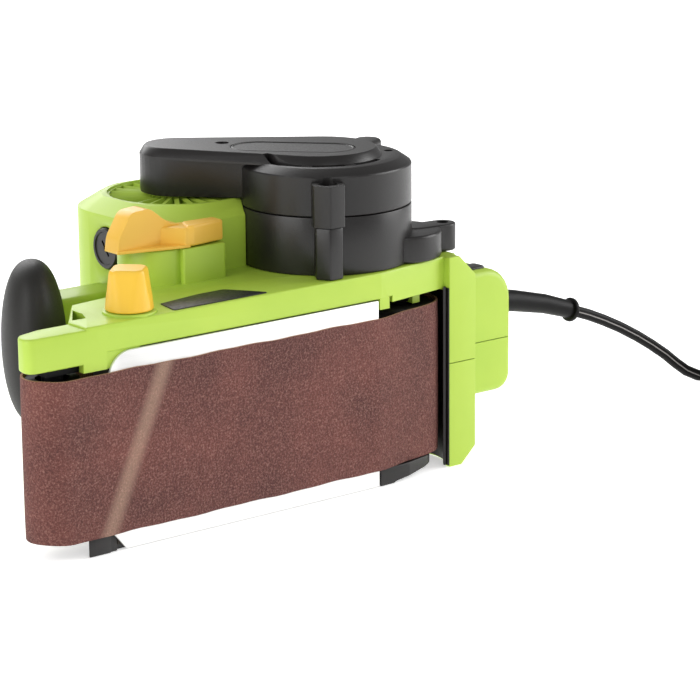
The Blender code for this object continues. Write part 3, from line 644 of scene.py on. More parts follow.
@dataclass(frozen=True)
class ClothBacking:
    """Woven cotton backing of the belt, tan, with its cut edge paler."""

    name: str = "cotton_backing"
    colour: str = "#B48A6C"
    thread_mm: float = 0.6

    def make(self) -> Material:
        """Builds the material.

        Returns:
            The material.
        """
        made, tree, shader = fresh(self.name)
        place = add(tree, "ShaderNodeTexCoord").outputs["UV"]
        waves = [add(tree, "ShaderNodeTexWave", {"Vector": place,
                                                 "Scale": 1 / (self.thread_mm * 6.28 * MM),
                                                 "Distortion": 0.4}, bands_direction=axis)
                 for axis in ("X", "Y")]
        weave = add(tree, "ShaderNodeMath", {0: waves[0].outputs["Fac"], 1: waves[1].outputs["Fac"]},
                    operation="MULTIPLY")
        red, green, blue, _ = linear(self.colour)
        tone = ramp(tree, weave.outputs[0], ((0.0, (red * 0.6, green * 0.55, blue * 0.5, 1)),
                                             (0.6, (red, green, blue, 1))))
        tree.links.new(tone, shader.inputs["Base Color"])
        shader.inputs["Roughness"].default_value = 0.9
        bump = add(tree, "ShaderNodeBump", {"Height": weave.outputs[0], "Strength": 0.4,
                                            "Distance": 0.0003})
        tree.links.new(bump.outputs["Normal"], shader.inputs["Normal"])
        return made


class Finish(Enum):
    """Every finish on the tool."""

    GREEN = MouldedPlastic("lime_abs", "#B0CC48", "#A9C744", 0.40)
    BLACK = MouldedPlastic("black_glass_filled_nylon", "#1D1B1A", "#191717", 0.34, 0.6, 0.10, 0.0, 0.45)
    SOFT = MouldedPlastic("soft_touch_rubber", "#242321", "#1F1E1C", 0.5, 0.5, 0.15, 0.0, 0.3)
    YELLOW = MouldedPlastic("yellow_abs", "#ECBF38", "#E6B532", 0.36)
    ORANGE = MouldedPlastic("amber_abs", "#EBBB4A", "#E6B444", 0.38)
    LABEL = MouldedPlastic("printed_vinyl_black", "#171813", "#12130F", 0.42, 1.5, 0.03)
    BADGE = MouldedPlastic("satin_black_badge", "#1F1E1D", "#1A1918", 0.42, 1.0, 0.03)
    PVC = MouldedPlastic("pvc_sheath", "#0B0A0A", "#090808", 0.45, 0.8, 0.05, 0.0, 0.16)
    # Pale grey painted highlight along the grooves between the cord's two cores.
    PVC_GROOVE_HIGHLIGHT = MouldedPlastic("pvc_painted_groove_highlight", "#8A8684", "#807C7A", 0.4, 0.8, 0.05)
    CORK = MouldedPlastic("graphite_coated_cork", "#3A332B", "#262019", 0.85, 1.4, 0.5)
    OXIDE = Metal("black_oxide_steel", "#2B2B2C", 0.5)
    CARBON = MouldedPlastic("pressed_carbon", "#1C1C1E", "#141416", 0.7, 0.4, 0.2)
    PLATEN = Metal("bright_rolled_steel", "#F4F4F2", 0.34, 0.5, (0.02, 1, 1), 0.0, 0.5, 0.03)
    STEEL = Metal("ground_steel", "#B9BABC", 0.30, 0.4, (1, 1, 0.08))
    ALLOY = Metal("die_cast_aluminium", "#A9ABAE", 0.46, 0.8)
    COPPER = Metal("turned_copper", "#C77B4E", 0.32, 0.4, (1, 1, 0.1))
    GRIT = AbrasiveCloth()
    BACKING = ClothBacking()

    def __init__(self, recipe: MouldedPlastic | Metal | AbrasiveCloth | ClothBacking) -> None:
        """Keeps the recipe; the material is made on first use."""
        self.recipe = recipe
        self.made: Material | None = None

    def material(self) -> Material:
        """The finish's material."""
        if self.made is None:
            self.made = self.recipe.make()
        return self.made


def dress(obj: Object, finish: Finish) -> Object:
    """Gives an object one finish.

    Args:
        obj: the object.
        finish: its finish.

    Returns:
        The same object.
    """
    obj.data.materials.clear()
    obj.data.materials.append(finish.material())
    return obj


def settle(obj: Object, body: str, replaced: Sequence[str] = ()) -> Object:
    """Ties a piece to its body, hides the CAD nodes that it stands for, and logs it.

    Args:
        obj: the finished piece.
        body: CAD body that it moves with.
        replaced: CAD nodes that it stands for.

    Returns:
        The piece.
    """
    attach(obj, body)
    for node in replaced:
        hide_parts(node)
    log.info("%s: %d faces on %s", obj.name, len(obj.data.polygons), body)
    return obj


# ---- repeated shapes -----------------------------------------------------------
@dataclass
class RadialArray:
    """Geometry Nodes tree that sets bars round a circle, such as vent slats."""

    name: str
    sockets: dict[str, str] = field(default_factory=dict)

    def tree(self, finish: Finish) -> bpy.types.NodeTree:
        """Builds the tree.

        Args:
            finish: finish of the bars.

        Returns:
            The tree; self.sockets holds its input identifiers by name.
        """
        made = bpy.data.node_groups.new(self.name, "GeometryNodeTree")
        made.interface.new_socket("Geometry", in_out="OUTPUT", socket_type="NodeSocketGeometry")
        for label, kind in (("Count", "NodeSocketInt"), ("Radius", "NodeSocketFloat"),
                            ("Size", "NodeSocketVector"), ("Tilt", "NodeSocketFloat"),
                            ("Centre", "NodeSocketVector"), ("Start", "NodeSocketFloat")):
            socket = made.interface.new_socket(label, in_out="INPUT", socket_type=kind)
            self.sockets[label] = socket.identifier
        given = made.nodes.new("NodeGroupInput").outputs
        ring = add(made, "GeometryNodeMeshCircle", {"Vertices": given["Count"],
                                                    "Radius": given["Radius"]})
        bar = add(made, "GeometryNodeMeshCube", {"Size": given["Size"]})
        index = add(made, "GeometryNodeInputIndex")
        share = add(made, "ShaderNodeMath", {0: math.tau, 1: given["Count"]}, operation="DIVIDE")
        angle = add(made, "ShaderNodeMath", {0: index.outputs[0], 1: share.outputs[0], 2: 0.0},
                    operation="MULTIPLY_ADD")
        facing = add(made, "ShaderNodeCombineXYZ", {"X": given["Tilt"], "Z": angle.outputs[0]})
        set_out = add(made, "GeometryNodeInstanceOnPoints",
                      {"Points": ring.outputs["Mesh"], "Instance": bar.outputs["Mesh"],
                       "Rotation": facing.outputs[0]})
        real = add(made, "GeometryNodeRealizeInstances", {"Geometry": set_out.outputs["Instances"]})
        spin = add(made, "ShaderNodeCombineXYZ", {"Z": given["Start"]})
        place = add(made, "GeometryNodeTransform", {"Geometry": real.outputs["Geometry"],
                                                    "Translation": given["Centre"],
                                                    "Rotation": spin.outputs[0]})
        painted = add(made, "GeometryNodeSetMaterial", {"Geometry": place.outputs["Geometry"],
                                                        "Material": finish.material()})
        out = made.nodes.new("NodeGroupOutput")
        made.links.new(painted.outputs["Geometry"], out.inputs["Geometry"])
        return made

    def build(self, finish: Finish, centre: Point, count: int, radius: float, size: Point,
              tilt: float = 0.0, start: float = 0.0) -> Object:
        """Makes the array as a plain mesh.

        Args:
            finish: finish of the bars.
            centre: middle of the circle, millimetres.
            count: how many bars.
            radius: circle through the bars' middles, millimetres.
            size: a bar's size along the radius, across it and in height, millimetres.
            tilt: lean of each bar about its own length, degrees.
            start: turn of the whole array, degrees.

        Returns:
            The new object.
        """
        mesh = bpy.data.meshes.new(self.name)
        obj = bpy.data.objects.new(self.name, mesh)
        bpy.context.scene.collection.objects.link(obj)
        tree = self.tree(finish)
        step = obj.modifiers.new("Array", "NODES")
        step.node_group = tree
        step[self.sockets["Count"]] = count
        step[self.sockets["Radius"]] = radius * MM
        step[self.sockets["Size"]] = tuple(s * MM for s in size)
        step[self.sockets["Tilt"]] = math.radians(tilt)
        step[self.sockets["Centre"]] = tuple(c * MM for c in centre)
        step[self.sockets["Start"]] = math.radians(start)
        return baked(obj)


# ---- studio ------------------------------------------------------------------------
@dataclass(frozen=True)
class Softbox:
    """A square white area light; places and sizes in metres, power in watts."""

    name: str
    place: Point
    aim: Point
    size: float
    power: float

    def build(self) -> None:
        """Makes the light."""
        data = bpy.data.lights.new(self.name, "AREA")
        data.size, data.energy = self.size, self.power
        made = bpy.data.objects.new(self.name, data)
        made.location = self.place
        facing = Vector(self.aim) - Vector(self.place)
        made.rotation_euler = facing.to_track_quat("-Z", "Y").to_euler()
        bpy.context.scene.collection.objects.link(made)


@dataclass
class Studio:
    """White floor, soft lights and the camera."""

    stand: Point = (-820.3, -1128.2, 416.0)
    heading: float = 38.80
    dip: float = 14.25
    roll: float = -0.49
    lens: float = 150.1
    sky: float = 0.33
    glow: float = 0.5
    softboxes: tuple[Softbox, ...] = (
        Softbox("left", (-2.0, -0.1, 0.9), (0, 0, 0.07), 1.4, 24),
        Softbox("right", (1.7, -0.9, 0.8), (0.05, 0, 0.06), 1.3, 27),
        Softbox("front", (-0.5, -1.9, 1.5), (0, 0, 0.07), 1.2, 9),
        Softbox("top", (0.3, 1.5, 1.1), (0, 0, 0.1), 1.5, 24))

    def camera(self) -> None:
        """Makes the camera."""
        turn, dip, roll = (math.radians(a) for a in (self.heading, self.dip, self.roll))
        view = Vector((math.sin(turn) * math.cos(dip), math.cos(turn) * math.cos(dip), -math.sin(dip)))
        right = Vector((math.cos(turn), -math.sin(turn), 0))
        up = right.cross(view)
        across = right * math.cos(roll) + up * math.sin(roll)
        above = up * math.cos(roll) - right * math.sin(roll)
        data = bpy.data.cameras.new("camera")
        data.lens, data.sensor_width = self.lens, 36.0
        data.clip_start, data.clip_end = 0.05, 30.0
        made = bpy.data.objects.new("camera", data)
        made.matrix_world = Matrix.Translation(Vector(self.stand) * MM) @ Matrix(
            (across, above, -view)).transposed().to_4x4()
        bpy.context.scene.collection.objects.link(made)
        bpy.context.scene.camera = made

    def build(self) -> None:
        """Makes world, lights and floor."""
        scene = bpy.context.scene
        scene.view_settings.view_transform = "Standard"
        world = bpy.data.worlds.new("studio")
        scene.world = world
        world.use_nodes = True
        sky = world.node_tree.nodes["Background"]
        sky.inputs["Color"].default_value = (1, 1, 1, 1)
        sky.inputs["Strength"].default_value = self.sky
        for softbox in self.softboxes:
            softbox.build()
        self.floor()

    def floor(self) -> None:
        """Makes the floor, a matt paper sheet that glows a little so that it stays white."""
        shape = bmesh.new()
        bmesh.ops.create_grid(shape, x_segments=4, y_segments=4, size=6.0)
        floor = adopt("studio_floor", shape)
        made, tree, shader = fresh("matt_white_paper")
        place = add(tree, "ShaderNodeTexCoord").outputs["Object"]
        pulp = add(tree, "ShaderNodeTexNoise", {"Vector": place, "Scale": 900.0})
        tone = ramp(tree, pulp.outputs["Fac"], ((0.3, linear("#FBFBFA")), (0.7, linear("#FFFFFF"))))
        tree.links.new(tone, shader.inputs["Base Color"])
        shader.inputs["Roughness"].default_value = 0.95
        shader.inputs["Specular IOR Level"].default_value = 0.1
        shader.inputs["Emission Color"].default_value = (1, 1, 1, 1)
        shader.inputs["Emission Strength"].default_value = self.glow
        floor.data.materials.append(made)
        floor.location.z = -0.0002


# ---- cord ----------------------------------------------------------------------------
@dataclass
class MainsCord:
    """Flat two-core mains lead: strain relief, visible run, put-away coil, tie and plug."""

    exit: Point = (206.4, -39.0, 57.4)
    route: tuple[Point, ...] = ((206.4, -39.0, 57.4), (217.2, -39.0, 53.5), (228.1, -39.0, 48.9),
                                (240.5, -39.0, 43.0), (252.9, -39.0, 36.3), (264.0, -39.0, 29.6),
                                (274.9, -39.0, 22.4), (283.0, -39.0, 16.2), (291.0, -39.2, 10.6),
                                (300.0, -39.5, 6.3), (311.0, -40.0, 4.0), (324.0, -40.6, 3.2))
    core: float = 1.9
    apart: float = 1.1
    low: float = 3.2
    centre: Flat = (343.0, -81.0)
    columns: tuple[float, ...] = (40.0, 35.0, 30.0)
    layers: int = 4
    pitch: float = 6.1
    plug_back: Point = (390.3, -46.0, 17.2)

    def coil(self) -> list[Point]:
        """Centreline of the coil, from its outer lowest turn to its outer top turn.

        Returns:
            Points in millimetres, 28 to a turn.
        """
        stops: list[Flat] = []
        for layer in range(self.layers):
            order = self.columns if layer % 2 == 0 else self.columns[::-1]
            stops += [(radius, self.low + layer * self.pitch) for radius in order]
        points: list[Point] = []
        steps, crossing = 28, 0.78
        for turn, (radius, height) in enumerate(stops):
            after = stops[min(turn + 1, len(stops) - 1)]
            for i in range(steps):
                part = i / steps
                blend = max(0.0, (part - crossing) / (1 - crossing))
                blend = blend * blend * (3 - 2 * blend)
                size = radius + (after[0] - radius) * blend
                level = height + (after[1] - height) * blend
                angle = math.radians(90 - 360 * part)
                points.append((self.centre[0] + size * math.cos(angle),
                               self.centre[1] + size * math.sin(angle), level))
        return points

    def path(self) -> list[Point]:
        """The whole centreline, relief to plug."""
        top = self.low + (self.layers - 1) * self.pitch
        out = [(343.0, -41.0, top), (352.0, -41.0, top), (361.0, -41.4, top - 0.4),
               (370.0, -42.8, top - 1.8), (379.0, -45.0, top - 3.6), (390.3, -46.0, 17.2)]
        return list(self.route) + self.coil() + out

    def section(self) -> list[Flat]:
        """Outline of the two cores: (sideways, upwards), anticlockwise."""
        upper = arc(0, self.apart, self.core, -25, 205, 10)
        lower = arc(0, -self.apart, self.core, 155, 385, 10)
        return upper + lower

    def lead(self) -> Object:
        """The cord's mesh; the faces along the grooves between its cores get a paler finish, a painted
        highlight.

        Returns:
            The lead.
        """
        path = [Vector(p) for p in self.path()]
        section = self.section()
        rings: list[list[Point]] = []
        for i, point in enumerate(path):
            ahead = path[min(i + 1, len(path) - 1)] - path[max(i - 1, 0)]
            side = ahead.cross(Vector((0, 0, 1))).normalized()
            rise = side.cross(ahead).normalized()
            rings.append([tuple(point + side * x + rise * y) for x, y in section])
        obj = dress(loft("mains_cord", rings, sharp=50), Finish.PVC)
        # Painted highlight: the faces that bridge the two grooves between the cores take the pale grey
        # finish.
        obj.data.materials.append(Finish.PVC_GROOVE_HIGHLIGHT.material())
        web = len(section) // 2
        for index, face in enumerate(obj.data.polygons):
            if index % len(section) in (web - 1, 2 * web - 1) and face.area < 1e-4:
                face.material_index = 1
        return obj

    def relief(self) -> Object:
        """Tapered strain relief with its thin end flange.

        Returns:
            The strain relief.
        """
        start, end = Vector((153.0, -39.0, 71.2)), Vector((206.0, -39.0, 57.6))
        span = (end - start).length
        profile = ((0.0, 6.3), (0.03, 6.3), (0.035, 5.9), (0.2, 5.6), (0.6, 5.1), (0.9, 4.7),
                   (0.935, 4.7),
                   (0.94, 6.0), (0.95, 6.3), (0.97, 6.3), (0.98, 6.0), (0.985, 4.0), (1.0, 3.7))
        rings = []
        aim = (end - start).normalized()
        side = aim.cross(Vector((0, 0, 1))).normalized()
        rise = side.cross(aim)
        for share, radius in profile:
            sag = 1.6 * math.sin(math.pi * share)
            middle = start + aim * span * share + Vector((0, 0, sag))
            rings.append([tuple(middle + side * x + rise * y) for x, y in disc(0, 0, radius, 40)])
        return dress(loft("strain_relief_sleeve", rings), Finish.PVC)

    def plug(self) -> list[Object]:
        """Round two-pin plug with grip ribs, and its pins.

        Returns:
            The plug's body, its ribs and its pins.
        """
        x, y, z = self.plug_back
        body = ((2.6, 0), (4.4, 0.4), (4.8, 2), (5.4, 9), (7.5, 13), (13.5, 21), (16.2, 25), (17, 28),
                (17, 38.2), (16.4, 39.6), (15.2, 40), (0, 40))
        plug = dress(turned("mains_plug", body, turn=along("+X", x, y, z)), Finish.PVC)
        ribs = RadialArray("mains_plug_ribs").build(Finish.PVC, (0, 0, 33), 30, 16.7, (0.7, 1.4, 7), 0)
        moved(ribs, along("+X", x, y, z))
        pin = ((0, -3), (2.4, -3), (2.4, 17.4), (1.9, 18.6), (0.9, 19.1), (0, 19.2))
        sleeve = ((2.45, 0), (2.5, 0.2), (2.5, 9), (2.42, 9.2))
        parts = []
        for name, profile, finish in (("pin", pin, Finish.STEEL), ("sleeve", sleeve, Finish.PVC)):
            for side in (-9.5, 9.5):
                place = along("+X", x + 40, y + side, z)
                parts.append(dress(turned(name, profile, turn=place, steps=32), finish))
        return [plug, ribs, merged("mains_plug_pins", parts)]

    def tie(self) -> Object:
        """Rubber strap round the coil's bundle.

        Returns:
            The strap.
        """
        x, y = self.centre[0], self.centre[1] - 35.0
        half, top = 8.2, self.low + (self.layers - 1) * self.pitch + 3.5
        loop = rounded([(-half, 0.2, 2), (half, 0.2, 2), (half, top, 3), (-half, top, 3)], 5)
        inner = rounded([(-half + 1, 0.5, 1.4), (half - 1, 0.5, 1.4), (half - 1, top - 0.8, 2.4),
                         (-half + 1, top - 0.8, 2.4)], 5)
        turn = Matrix.Translation((x, y, 0)) @ Matrix.Rotation(math.radians(90), 4, "Z") @ upright()
        strap = prism("coil_tie", [loop, inner], -5, 5, 0.25, 2, turn)
        return dress(strap, Finish.SOFT)

    def build(self) -> None:
        """Makes and places the cord, and logs its length."""
        lead = settle(self.lead(), "housing", ("cord", "cord_coil", "cord_tail"))
        relief = settle(self.relief(), "housing", ("strain_relief",))
        plug, ribs, pins = self.plug()
        settle(plug, "housing", ("plug_body",))
        settle(ribs, "housing")
        settle(pins, "housing", ("plug_pin_a", "plug_pin_b"))
        tie = settle(self.tie(), "housing")
        path = [tuple(c * MM for c in point) for point in self.path()]
        length = sum((Vector(b) - Vector(a)).length for a, b in zip(path, path[1:]))
        log.info("cord length %.3f m", length)


# ---- sanding belt and what it runs on ----------------------------------------------
@dataclass
class BeltUnit:
    """Sanding belt, platen, side rail and the dressed rollers."""

    bend_x: float = 44.7
    rise: float = 10.8

    def run(self) -> list[Flat]:
        """The belt's outer path, finely divided, as one closed loop.

        Returns:
            The loop, anticlockwise, starting at the rear roller.
        """
        across, along_x = DRIVE[1] - IDLER[1], DRIVE[0] - IDLER[0]
        lean = math.degrees(math.atan2(across, along_x)
                            + math.asin((DRIVE_R - IDLER_R) / math.hypot(across, along_x)))
        loop = arc(*DRIVE, DRIVE_R, self.rise - 90, lean + 90, 40)
        front = arc(*IDLER, IDLER_R, lean + 90, 270, 34)
        loop += self.between(loop[-1], front[0], 40) + front
        bend = rounded([(IDLER[0], -75.0, 0), (self.bend_x, -75.0, 12), (loop[0][0], loop[0][1], 0)], 6)
        loop += self.between(front[-1], bend[1], 34) + bend[1:-1]
        return loop + self.between(bend[-2], loop[0], 8)

    @staticmethod
    def between(start: Flat, end: Flat, steps: int) -> list[Flat]:
        """Points strictly between two others.

        Args:
            start, end: the two points.
            steps: how many steps lead from one to the other.

        Returns:
            The steps - 1 points between them.
        """
        return [(start[0] + (end[0] - start[0]) * i / steps, start[1] + (end[1] - start[1]) * i / steps)
                for i in range(1, steps)]

    def column(self, shape: bmesh.types.BMesh, spot: Vector, out: Vector, walked: float,
               levels: Sequence[float]) -> tuple[list[bmesh.types.BMVert], list[bmesh.types.BMVert]]:
        """One crosswise row of the belt's vertices; the edges curl in and wave a little.

        Args:
            shape: the belt's mesh.
            spot: the row's place on the belt's path.
            out: the path's outward normal there.
            walked: length of path before it.
            levels: heights of the outer vertices.

        Returns:
            The outer vertices, and the inner ones at the two edges.
        """
        wave = 0.18 * math.sin(walked / 9.0) + 0.12 * math.sin(walked / 3.7 + 1.0)
        front, back = [], []
        for level in levels:
            edge = ((level - BELT_LOW) / BELT_WIDE - 0.5) * 2
            high = level + wave * (abs(edge) ** 12) * 1.2
            curl = 0.18 * edge ** 6
            depths = [(front, 0.05)]
            if level in (levels[0], levels[-1]):
                depths.append((back, BELT_THICK - 0.05))
            for row, depth in depths:
                place = spot - out * (depth + curl)
                row.append(shape.verts.new((place.x * MM, place.y * MM, high * MM)))
        return front, back

    @staticmethod
    def face(shape: bmesh.types.BMesh, uv: bmesh.types.BMLayerItem,
             corners: Sequence[bmesh.types.BMVert], places: Sequence[Flat], index: int) -> None:
        """Adds one face of the belt.

        Args:
            shape: the belt's mesh.
            uv: its UV layer.
            corners: the face's vertices.
            places: each corner's length along and across the belt, millimetres.
            index: 0 for grit, 1 for cloth.
        """
        made = shape.faces.new(corners)
        made.material_index = index
        for corner, (u, v) in zip(made.loops, places):
            corner[uv].uv = (u * MM, v * MM)

    def belt(self) -> Object:
        """The belt: grit outside, cloth inside and on the edges, with a UV map in metres.

        Returns:
            The belt.
        """
        middle = [Vector(p) for p in self.run()]
        count = len(middle)
        levels = [BELT_LOW, BELT_LOW + 0.5] + [BELT_LOW + BELT_WIDE * k / 8 for k in range(1, 8)]
        levels += [BELT_HIGH - 0.5, BELT_HIGH]
        shape = bmesh.new()
        uv = shape.loops.layers.uv.new("belt")
        walk = [0.0]
        for i in range(count):
            walk.append(walk[-1] + (middle[(i + 1) % count] - middle[i]).length)
        outer, inner = [], []
        for i in range(count):
            way = (middle[(i + 1) % count] - middle[i - 1]).normalized()
            front, back = self.column(shape, middle[i], Vector((way.y, -way.x)), walk[i], levels)
            outer.append(front)
            inner.append(back)
        wide, rim = BELT_WIDE, 2
        for i in range(count):
            j = (i + 1) % count
            a, b = walk[i], walk[i + 1]
            for k, (u, v) in enumerate(zip(levels, levels[1:])):
                self.face(shape, uv, (outer[i][k], outer[j][k], outer[j][k + 1], outer[i][k + 1]),
                          ((a, u), (b, u), (b, v), (a, v)), 0)
            self.face(shape, uv, (inner[j][0], inner[i][0], inner[i][1], inner[j][1]),
                      ((b, 0), (a, 0), (a, wide), (b, wide)), 1)
            self.face(shape, uv, (outer[i][0], inner[i][0], inner[j][0], outer[j][0]),
                      ((a, 0), (a, rim), (b, rim), (b, 0)), 1)
            self.face(shape, uv, (outer[i][-1], outer[j][-1], inner[j][1], inner[i][1]),
                      ((a, 0), (b, 0), (b, rim), (a, rim)), 1)
        obj = adopt("abrasive_belt", shape, 40)
        obj.data.materials.append(Finish.GRIT.material())
        obj.data.materials.append(Finish.BACKING.material())
        return obj

    def platen(self) -> Object:
        """Bright platen plate with a round upper corner and a cut lower one.

        Returns:
            The plate.
        """
        loop = [(45.5, 0.8, 0.0), (45.5, 93.6, 0.0), (-111, 93.6, 12.0), (-111, 8.8, 1.5),
                (-104, 0.8, 1.5)]
        plate = prism("platen_steel_plate", [rounded(loop, 12)], 72.2, 73.7, 0.25, 2, upright())
        return dress(plate, Finish.PLATEN)

    def rail(self) -> Object:
        """Black rail under the belt's lower edge.

        Returns:
            The rail.
        """
        loop = [(-124.5, -72.9, 0.6), (-112.2, -72.9, 0.0), (-112.2, -72.1, 0.0), (-108.4, -72.1, 0.0),
                (-108.4, -70.3, 0.0), (47, -70.3, 0.0), (47, -72.9, 0.6), (66, -72.0, 6.0), (86,
                                                                                             -67, 5.0),
                (82, -56, 4.0), (-110, -56, 0.0), (-114, -60, 0.6)]
        rail = prism("side_rail_moulding", [rounded(loop, 5)], 0.05, 8.7, 0.5, 2)
        sweep = [(54, -1, 0.0), (57, 0.9, 2.0), (78, 3.4, 6.0), (92, 7.4, 0.0), (92, -1, 0.0)]
        carve(rail, [prism("tail_sweep", [rounded(sweep, 5)], 50, 80, 0.0, 1, upright())])
        return dress(rail, Finish.BLACK)

    def build(self) -> None:
        """Makes and dresses the belt's pieces."""
        settle(self.belt(), "housing", ("sanding_belt",))
        settle(self.platen(), "housing", ("platen_plate",))
        settle(self.rail(), "housing", ("side_rail",))
        settle(self.roller("front_roller_drum", IDLER, 13.0, 5.3, Finish.OXIDE), "idler",
               ("front_idler_roller",))
        settle(self.roller("rear_roller_drum", DRIVE, 18.5, 6.3, Finish.SOFT), "drive_roller",
               ("rear_drive_roller",))

    def roller(self, name: str, centre: Flat, radius: float, bore: float, finish: Finish) -> Object:
        """A roller with rounded rims and a shallow recess round its bore at one end.

        Args:
            name: the piece's name.
            centre: its axis.
            radius: its outer radius.
            bore: radius of its bore.
            finish: its finish.

        Returns:
            The roller.
        """
        low, high, lip = 10.2, 83.8, radius - 3.0
        profile = ((bore, high - 4), (bore + 2.5, high - 4), (bore + 2.5, high), (bore + 2.4, high),
                   (lip - 0.2, high), (lip, high), (radius - 0.8, high), (radius, high - 1.2),
                   (radius, low + 1.2), (radius - 0.8, low), (lip, low), (bore + 2.5, low), (bore, low),
                   (bore, high - 4))
        return dress(turned(name, profile, centre), finish)


# ---- housing -----------------------------------------------------------------------
@dataclass
class Housing:
    """Both green shells: side plate, arm, lever block, motor chamber, post, grip and belly."""

    half: float = 43.7
    corner: float = 30.0
    chamber: float = 38.0
    vent: float = 34.5
    hub: float = 14.0
    gap: float = 0.45
    edge: float = 1.3

    def motor(self) -> Object:
        """Rounded-square motor tube whose ends taper to a circle.

        Returns:
            The tube, solid.
        """
        steps = 14
        squares = square(*MOTOR, self.half, self.corner, steps)
        rings = []
        for level, share in ((0.0, 0.86), (1.2, 0.9), (7.0, 1.0), (131.2, 1.0), (132.2, 0.985),
                             (137.9, 0.18), (138.6, 0.06), (139.0, 0.0)):
            ring = []
            for x, y in squares:
                angle = math.atan2(y - MOTOR[1], x - MOTOR[0])
                size = math.hypot(x - MOTOR[0], y - MOTOR[1])
                end = 37.3 if level > 60 else self.half - 7
                radius = end + (size - end) * share
                ring.append((MOTOR[0] + radius * math.cos(angle),
                             MOTOR[1] + radius * math.sin(angle), level))
            rings.append(ring)
        return loft("motor_tube", rings)

    def grip(self) -> Object:
        """Rear D handle, round all over."""
        outer = [(35, 62, 0.0), (42, 30, 0.0), (100, -21, 0.0), (101, -46, 3.0), (154, -46, 8.0),
                 (154, 10, 10.0), (151, 51, 22.0), (110, 71, 30.0), (77, 75, 8.0)]
        hole = [(61.5, 41.0, 8.0), (97.5, -12.5, 7.0), (131.0, -14.5, 8.0), (131.5, 26.0, 14.0),
                (118, 40.5, 8.0), (66, 47, 5.0)]
        return prism("rear_grip", [rounded(outer, 8), rounded(hole, 8)], 35.5, 71, 7.5, 5)

    def foot(self) -> Object:
        """Grip's rounded foot, where the cord comes out."""
        outline = [(100, 25.5, 4.0), (156.6, 25.5, 9.0), (156.6, 90.5, 17.0), (100, 90.5, 4.0)]
        return prism("grip_foot", [rounded(outline, 8)], 18, 46, 6.0, 5, upright())

    def post(self) -> Object:
        """Rear post beside the belt's end, corners cut at top and bottom."""
        outline = [(94.5, 0.0, 0.6), (102.5, 0.0, 0.6), (111.6, 8.5, 1.0), (111.6, 96.5, 1.0),
                   (101.1, 107, 1.0),
                   (94.5, 107, 0.4)]
        return prism("rear_post", [rounded(outline, 3)], 15, 69, 0.8, 3, upright())

    def hull(self) -> Object:
        """Everything that both shells share, as one closed mesh.

        Returns:
            The hull, hollow where the works sit.
        """
        belly = [(-100, -35, 0.0), (95, -20, 0.0), (111.6, -20, 0.0), (111.6, -16, 0.0),
                 (95, -12, 4.0), (60, 12, 6.0),
                 (30, 15, 0.0), (-72, 0, 3.0)]
        hull = self.motor()
        adds = [prism("belly", [rounded(belly)], 3, 94.9, 1.5), self.post(), self.grip(), self.foot(),
                block("dust_duct", (60, -18, 3), (111.7, 12, 31), 3.0)]
        carve(hull, adds, "UNION")
        cuts = [prism("chamber", [disc(*MOTOR, self.chamber)], 13, 133),
                prism("roller_room", [disc(*DRIVE, 24)], -5, 92.5),
                block("switch_room", (66, 48.5, 42), (98, 66, 66)),
                block("trigger_room", (74, 34, 47), (98, 52.2, 60)),
                block("dust_way", (85, -10, 12), (113, -4, 24))]
        return carve(hull, cuts)

    def plate(self) -> list[Object]:
        """Side plate with its arm, skirt, lever block and knob seat.

        Returns:
            Closed solids, to be joined to the hull.
        """
        outline = [(-122, -72.8, 1.0), (48, -72.8, 6.0), (104, -63.0, 1.5), (104, -20, 1.0),
                   (70, 30, 2.0),
                   (20, 40, 2.0), (-40, 35, 2.0), (-46, 2, 2.0), (-62, -22, 2.0), (-79, -27.5, 3.0),
                   (-102, -30.8, 1.5), (-122, -58, 2.0)]
        arm = [(-153.2, -72.3, 4.5), (-118, -72.9, 0.0), (-112, -72.7, 0.0), (-112, -57, 0.0),
               (-138, -57, 4.0),
               (-151.6, -61.0, 5.0)]
        shoulder = [(-38, -31, 0.0), (-12.5, -31, 2.5), (-12.5, -2, 0.0), (-38, -2, 0.0)]
        edge = ((56, -71.4), (94.6, -64.7), (94.6, -62.7), (56, -69.4))
        return [prism("side_plate", [rounded(outline)], PLATE_LOW, PLATE_TOP, self.edge),
                prism("front_arm", [rounded(arm)], 90, 106, 1.2),
                block("skirt", (-124, -72.75, 86.4), (-111.4, -62, 96)),
                block("skirt_wing", (-113, -72.1, 86.4), (-93, -70.4, 96)),
                prism("lever_drum", [disc(-42, -11, 17)], PLATE_LOW, 124, 0.8),
                prism("lever_shoulder", [rounded(shoulder, 5)], PLATE_LOW, 124, 0.8),
                prism("window_lip", [edge], 91.2, 95),
                block("window_tab", (47.5, -72.2, 88.6), (53.5, -70.4, 95)),
                block("window_rib", (76.5, -62, 85.6), (81, -57, 95)),
                prism("knob_seat", [disc(*KNOB, 12.6)], PLATE_LOW, 108.1, 0.35),
                prism("tail", [[(94.5, -69), (104, -63.5), (111.6, -61), (111.6, -20), (94.5, -20)]],
                      90.0, 96.5)]

